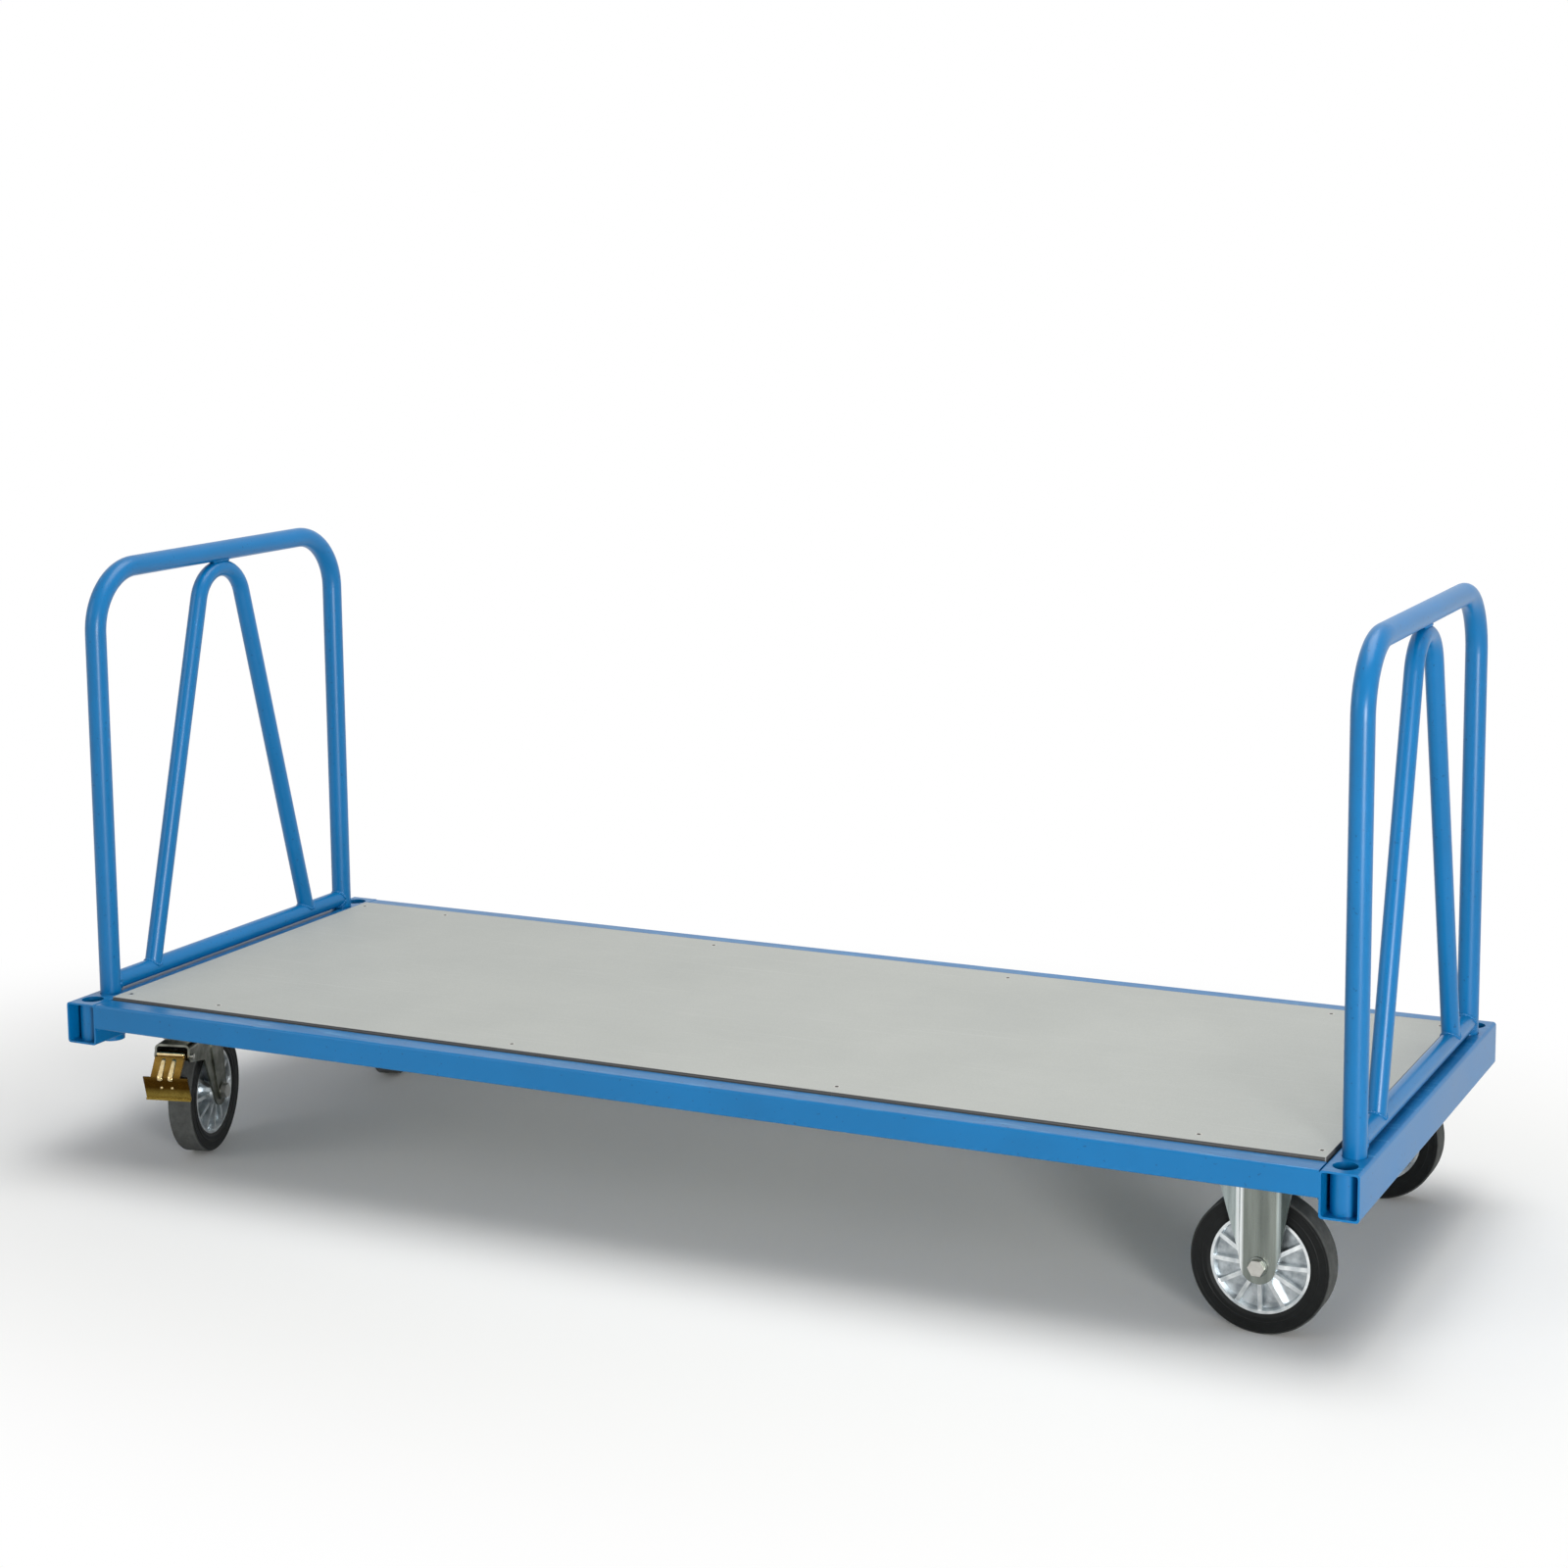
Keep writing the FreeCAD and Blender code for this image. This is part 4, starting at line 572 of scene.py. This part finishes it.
def wheel_finish(name, x, y, bearing):
    """A material with coordinates that start at one wheel's middle: along its travel, along its axle, and
    up."""
    made, tree, shader, where = bare_finish(name)
    local = add(tree, "ShaderNodeMapping", {"Vector": (where, "Object"), "Location": (x, y, WHEEL_R),
                                            "Rotation": (0, 0, bearing)}, vector_type="TEXTURE")
    return made, tree, shader, local, add(tree, "ShaderNodeSeparateXYZ", {0: (local, "Vector")})


def cast_rim(name, x, y, bearing):
    """Die-cast aluminium for one rim: a grainy skin of about 1 mm, lighter on the ribs and the ring and
    darker from
    9 mm off the wheel's middle down into the pockets, a painted shade in the recesses."""
    made, tree, shader, local, parts = wheel_finish(name, x, y, bearing)
    pores = add(tree, "ShaderNodeTexNoise", {"Vector": (local, "Vector"), "Scale": 1 / 0.0012, "Detail": 3.0})
    dull = add(tree, "ShaderNodeTexNoise", {"Vector": (local, "Vector"), "Scale": 1 / 0.015, "Detail": 4.0})
    tone = add(tree, "ShaderNodeMapRange", {"Value": (dull, "Fac"), "From Min": 0.34, "From Max": 0.66})
    reach = add(tree, "ShaderNodeMath", {0: (parts, "Y")}, operation="ABSOLUTE")
    # Darker from the ribs down to the web: painted shade in the pockets.
    raised = add(tree, "ShaderNodeMapRange", {"Value": (reach, 0), "From Min": POCKET_Y,
                                              "From Max": RIB_FACE_Y})
    pocket_painted_shade = add(tree, "ShaderNodeMix", {0: (tone, "Result"), 6: linear("#8b9296"), 7: linear("#c4cacd")},
                 data_type="RGBA")
    rib = add(tree, "ShaderNodeMix", {0: (tone, "Result"), 6: linear("#c3c9cc"), 7: linear("#edf0f0")},
              data_type="RGBA")
    metal = add(tree, "ShaderNodeMix", {0: (raised, "Result"), 6: (pocket_painted_shade, 2), 7: (rib, 2)}, data_type="RGBA")
    shine = add(tree, "ShaderNodeMapRange", {"Value": (dull, "Fac"), "To Min": 0.24, "To Max": 0.44})
    skin = add(tree, "ShaderNodeBump", {"Height": (pores, "Fac"), "Strength": 0.12, "Distance": 0.0003})
    add(tree, shader, {"Base Color": (metal, 2), "Roughness": (shine, "Result"), "Normal": (skin, "Normal"),
                       "Metallic": 1.0})
    return made


def tyre_rubber(name, x, y, bearing):
    """Moulded black rubber for one wheel: shiny sidewalls with a fine relief of rings 4 mm apart over a grit
    of 1.4 mm, and a dusty grey tread."""
    made, tree, shader, local, parts = wheel_finish(name, x, y, bearing)
    square_x = add(tree, "ShaderNodeMath", {0: (parts, "X"), 1: (parts, "X")}, operation="MULTIPLY")
    square = add(tree, "ShaderNodeMath", {0: (parts, "Z"), 1: (parts, "Z"), 2: (square_x, 0)},
                 operation="MULTIPLY_ADD")
    radius = add(tree, "ShaderNodeMath", {0: (square, 0)}, operation="SQRT")
    tread = add(tree, "ShaderNodeMapRange", {"Value": (radius, 0), "From Min": TREAD_START,
                                             "From Max": TREAD_FULL})
    dust = add(tree, "ShaderNodeTexNoise", {"Vector": (local, "Vector"), "Scale": 1 / 0.012, "Detail": 6.0,
                                            "Roughness": 0.65})
    dusty = add(tree, "ShaderNodeMix", {0: (dust, "Fac"), 6: linear("#2b2c2b"), 7: linear("#5c5e5c")},
                data_type="RGBA")
    wall = add(tree, "ShaderNodeMix", {0: (dust, "Fac"), 6: linear("#070808"), 7: linear("#191b1b")},
               data_type="RGBA")
    colour = add(tree, "ShaderNodeMix", {0: (tread, "Result"), 6: (wall, 2), 7: (dusty, 2)}, data_type="RGBA")
    rings = add(tree, "ShaderNodeMath", {0: (radius, 0), 1: 2 * math.pi / 0.004}, operation="MULTIPLY")
    wave = add(tree, "ShaderNodeMath", {0: (rings, 0)}, operation="SINE")
    grit = add(tree, "ShaderNodeTexNoise", {"Vector": (local, "Vector"), "Scale": 1 / 0.0014, "Detail": 2.0})
    relief = add(tree, "ShaderNodeMath", {0: (wave, 0), 1: 0.35, 2: (grit, "Fac")}, operation="MULTIPLY_ADD")
    moulded = add(tree, "ShaderNodeBump", {"Height": (relief, 0), "Strength": 0.10, "Distance": 0.0004})
    matt = add(tree, "ShaderNodeMapRange", {"Value": (tread, "Result"), "To Min": 0.40, "To Max": 0.85})
    add(tree, shader, {"Base Color": (colour, 2), "Roughness": (matt, "Result"),
                       "Normal": (moulded, "Normal"), "IOR": 1.5, "Specular IOR Level": 0.15})
    return made


def sidewall_ring(middle, half, rise, outward):
    """Raised moulding ring on a sidewall: a half ellipse about its middle radius, with its ends let in."""
    turn = np.linspace(0, np.pi, 9)
    return np.stack([middle + half * np.cos(turn),
                     outward * (SIDEWALL_Y + rise * np.sin(turn) - SIDEWALL_SINK)], axis=1)


for name, (x, y, bearing) in wheels.items():
    rubber = tyre_rubber(f"moulded_rubber_{name}", x, y, bearing)
    dress(cast_rim(f"die_cast_aluminium_{name}", x, y, bearing), f"wheel_rim_{name}")
    dress(bearing_steel, f"wheel_bearings_{name}")
    dress(rubber, f"wheel_tyre_{name}")
    rings = [turned_ring(sidewall_ring(*ring, outward), x, y, bearing, TYRE_RING_STEPS)
             for outward in (-1, 1) for ring in SIDEWALL_RINGS]
    surface(f"tyre_rings_{name}", rings, rubber, f"wheel_{name}")

# Studio: a pale floor that fades to a white surround past the cart's shadow, a low soft light on the front
# right that draws highlights down the tubes, and weaker ones from the left and from above.
FLOOR_HALF, FLOOR_DROP = 30.0, 0.0005
FADE_X, FADE_Y = 1.5, 1.0
FADE_START, FADE_END = 0.72, 1.5
WHITE = (1.0, 1.0, 1.0, 1.0)
SURROUND_LIGHT = 0.27
LAMPS = (("key_light", (4.1, -4.2, 0.85), (0.3, 0.0, 0.6), (1.2, 1.7), 225.0),
         ("fill_light", (-3.6, -4.2, 2.6), (-0.2, 0.0, 0.4), (2.4, 2.4), 36.0),
         ("top_light", (0.8, 0.4, 4.6), (0.2, 0.0, 0.2), (4.2, 2.6), 160.0))


def looked_at(tree):
    """1 for a ray from the camera, a mirror or glass, and 0 for one that brings light to a surface."""
    ray = add(tree, "ShaderNodeLightPath", {})
    mirrored = add(tree, "ShaderNodeMath", {0: (ray, "Is Glossy Ray"), 1: (ray, "Is Transmission Ray")},
                   operation="MAXIMUM")
    return add(tree, "ShaderNodeMath", {0: (ray, "Is Camera Ray"), 1: (mirrored, 0)}, operation="MAXIMUM")


def standing(across, upward, back, place):
    """World matrix of a light or a camera: its three axes and its place as columns."""
    return Matrix(np.vstack([np.column_stack([across, upward, back, place]), (0, 0, 0, 1)]).tolist())


# Matt floor paint: white with a trace of grey, glowing as white as the surround outside an oval.
floor_paint, tree, shader, where = bare_finish("pale_floor")
add(tree, shader, {"Base Color": linear("#f6f6f4"), "Roughness": 0.9, "Specular IOR Level": 0.1})
oval = add(tree, "ShaderNodeMapping", {"Vector": (where, "Object"), "Scale": (1 / FADE_X, 1 / FADE_Y, 0.0)})
away = add(tree, "ShaderNodeVectorMath", {0: (oval, "Vector")}, operation="LENGTH")
fade = add(tree, "ShaderNodeMapRange", {"Value": (away, "Value"), "From Min": FADE_START,
                                        "From Max": FADE_END}, interpolation_type="SMOOTHSTEP")
share = add(tree, "ShaderNodeMath", {0: (looked_at(tree), 0), 1: (fade, "Result")}, operation="MULTIPLY")
white = add(tree, "ShaderNodeEmission", {"Color": WHITE, "Strength": 1.0})
faded = add(tree, "ShaderNodeMixShader", {0: (share, 0), 1: (shader, "BSDF"), 2: (white, "Emission")})
add(tree, tree.nodes["Material Output"], {"Surface": (faded, "Shader")})
floor_mesh = bpy.data.meshes.new("floor")
corner = np.array([(-1, -1, 0), (1, -1, 0), (1, 1, 0), (-1, 1, 0)]) * FLOOR_HALF
floor_mesh.from_pydata((corner - (0, 0, FLOOR_DROP)).tolist(), [], [(0, 1, 2, 3)])
floor_mesh.materials.append(floor_paint)
floor = bpy.data.objects.new("floor", floor_mesh)
bpy.context.scene.collection.objects.link(floor)

world = bpy.data.worlds.new("surround")
world.use_nodes = True
bpy.context.scene.world = world
tree = world.node_tree
strength = add(tree, "ShaderNodeMapRange", {"Value": (looked_at(tree), 0), "To Min": SURROUND_LIGHT,
                                            "To Max": 1.0})
add(tree, tree.nodes["Background"], {"Color": WHITE, "Strength": (strength, "Result")})

for name, place, aim, size, energy in LAMPS:
    lamp = bpy.data.lights.new(name, "AREA")
    lamp.shape = "RECTANGLE"
    lamp.size, lamp.size_y = size
    lamp.energy = energy
    lit = bpy.data.objects.new(name, lamp)
    lit.visible_camera = False
    back = unit(np.array(place) - np.array(aim))
    across = unit(np.cross((0.0, 0.0, 1.0), back))
    lit.matrix_world = standing(across, np.cross(back, across), back, place)
    bpy.context.scene.collection.objects.link(lit)

# Camera: solved from the cart's own edges for a frame of 1600 by 1600, a long lens from the front right,
# above the deck, with the frame shifted as the picture was cropped.
FRAME_PIXELS, FOCAL_PIXELS = 1600, 2966.766
CROP_RIGHT, CROP_UP = -80, -160
SENSOR_WIDTH, FAR_END = 36.0, 200.0
YAW, PITCH, ROLL = 0.432265, 0.139585, -0.005463
STAND = (2.026755, -4.028613, 1.523853)
forward = np.array((-math.sin(YAW) * math.cos(PITCH), math.cos(YAW) * math.cos(PITCH), -math.sin(PITCH)))
level = np.array((math.cos(YAW), math.sin(YAW), 0.0))
upright = np.cross(level, forward)
right = level * math.cos(ROLL) + upright * math.sin(ROLL)
up = upright * math.cos(ROLL) - level * math.sin(ROLL)
lens = bpy.data.cameras.new("photo_camera")
lens.sensor_width = SENSOR_WIDTH
lens.lens = SENSOR_WIDTH * FOCAL_PIXELS / FRAME_PIXELS
lens.shift_x, lens.shift_y = CROP_RIGHT / FRAME_PIXELS, CROP_UP / FRAME_PIXELS
lens.clip_end = FAR_END
camera = bpy.data.objects.new("photo_camera", lens)
camera.matrix_world = standing(right, up, -forward, STAND)
bpy.context.scene.collection.objects.link(camera)
bpy.context.scene.camera = camera
bpy.context.scene.view_settings.view_transform = "Standard"
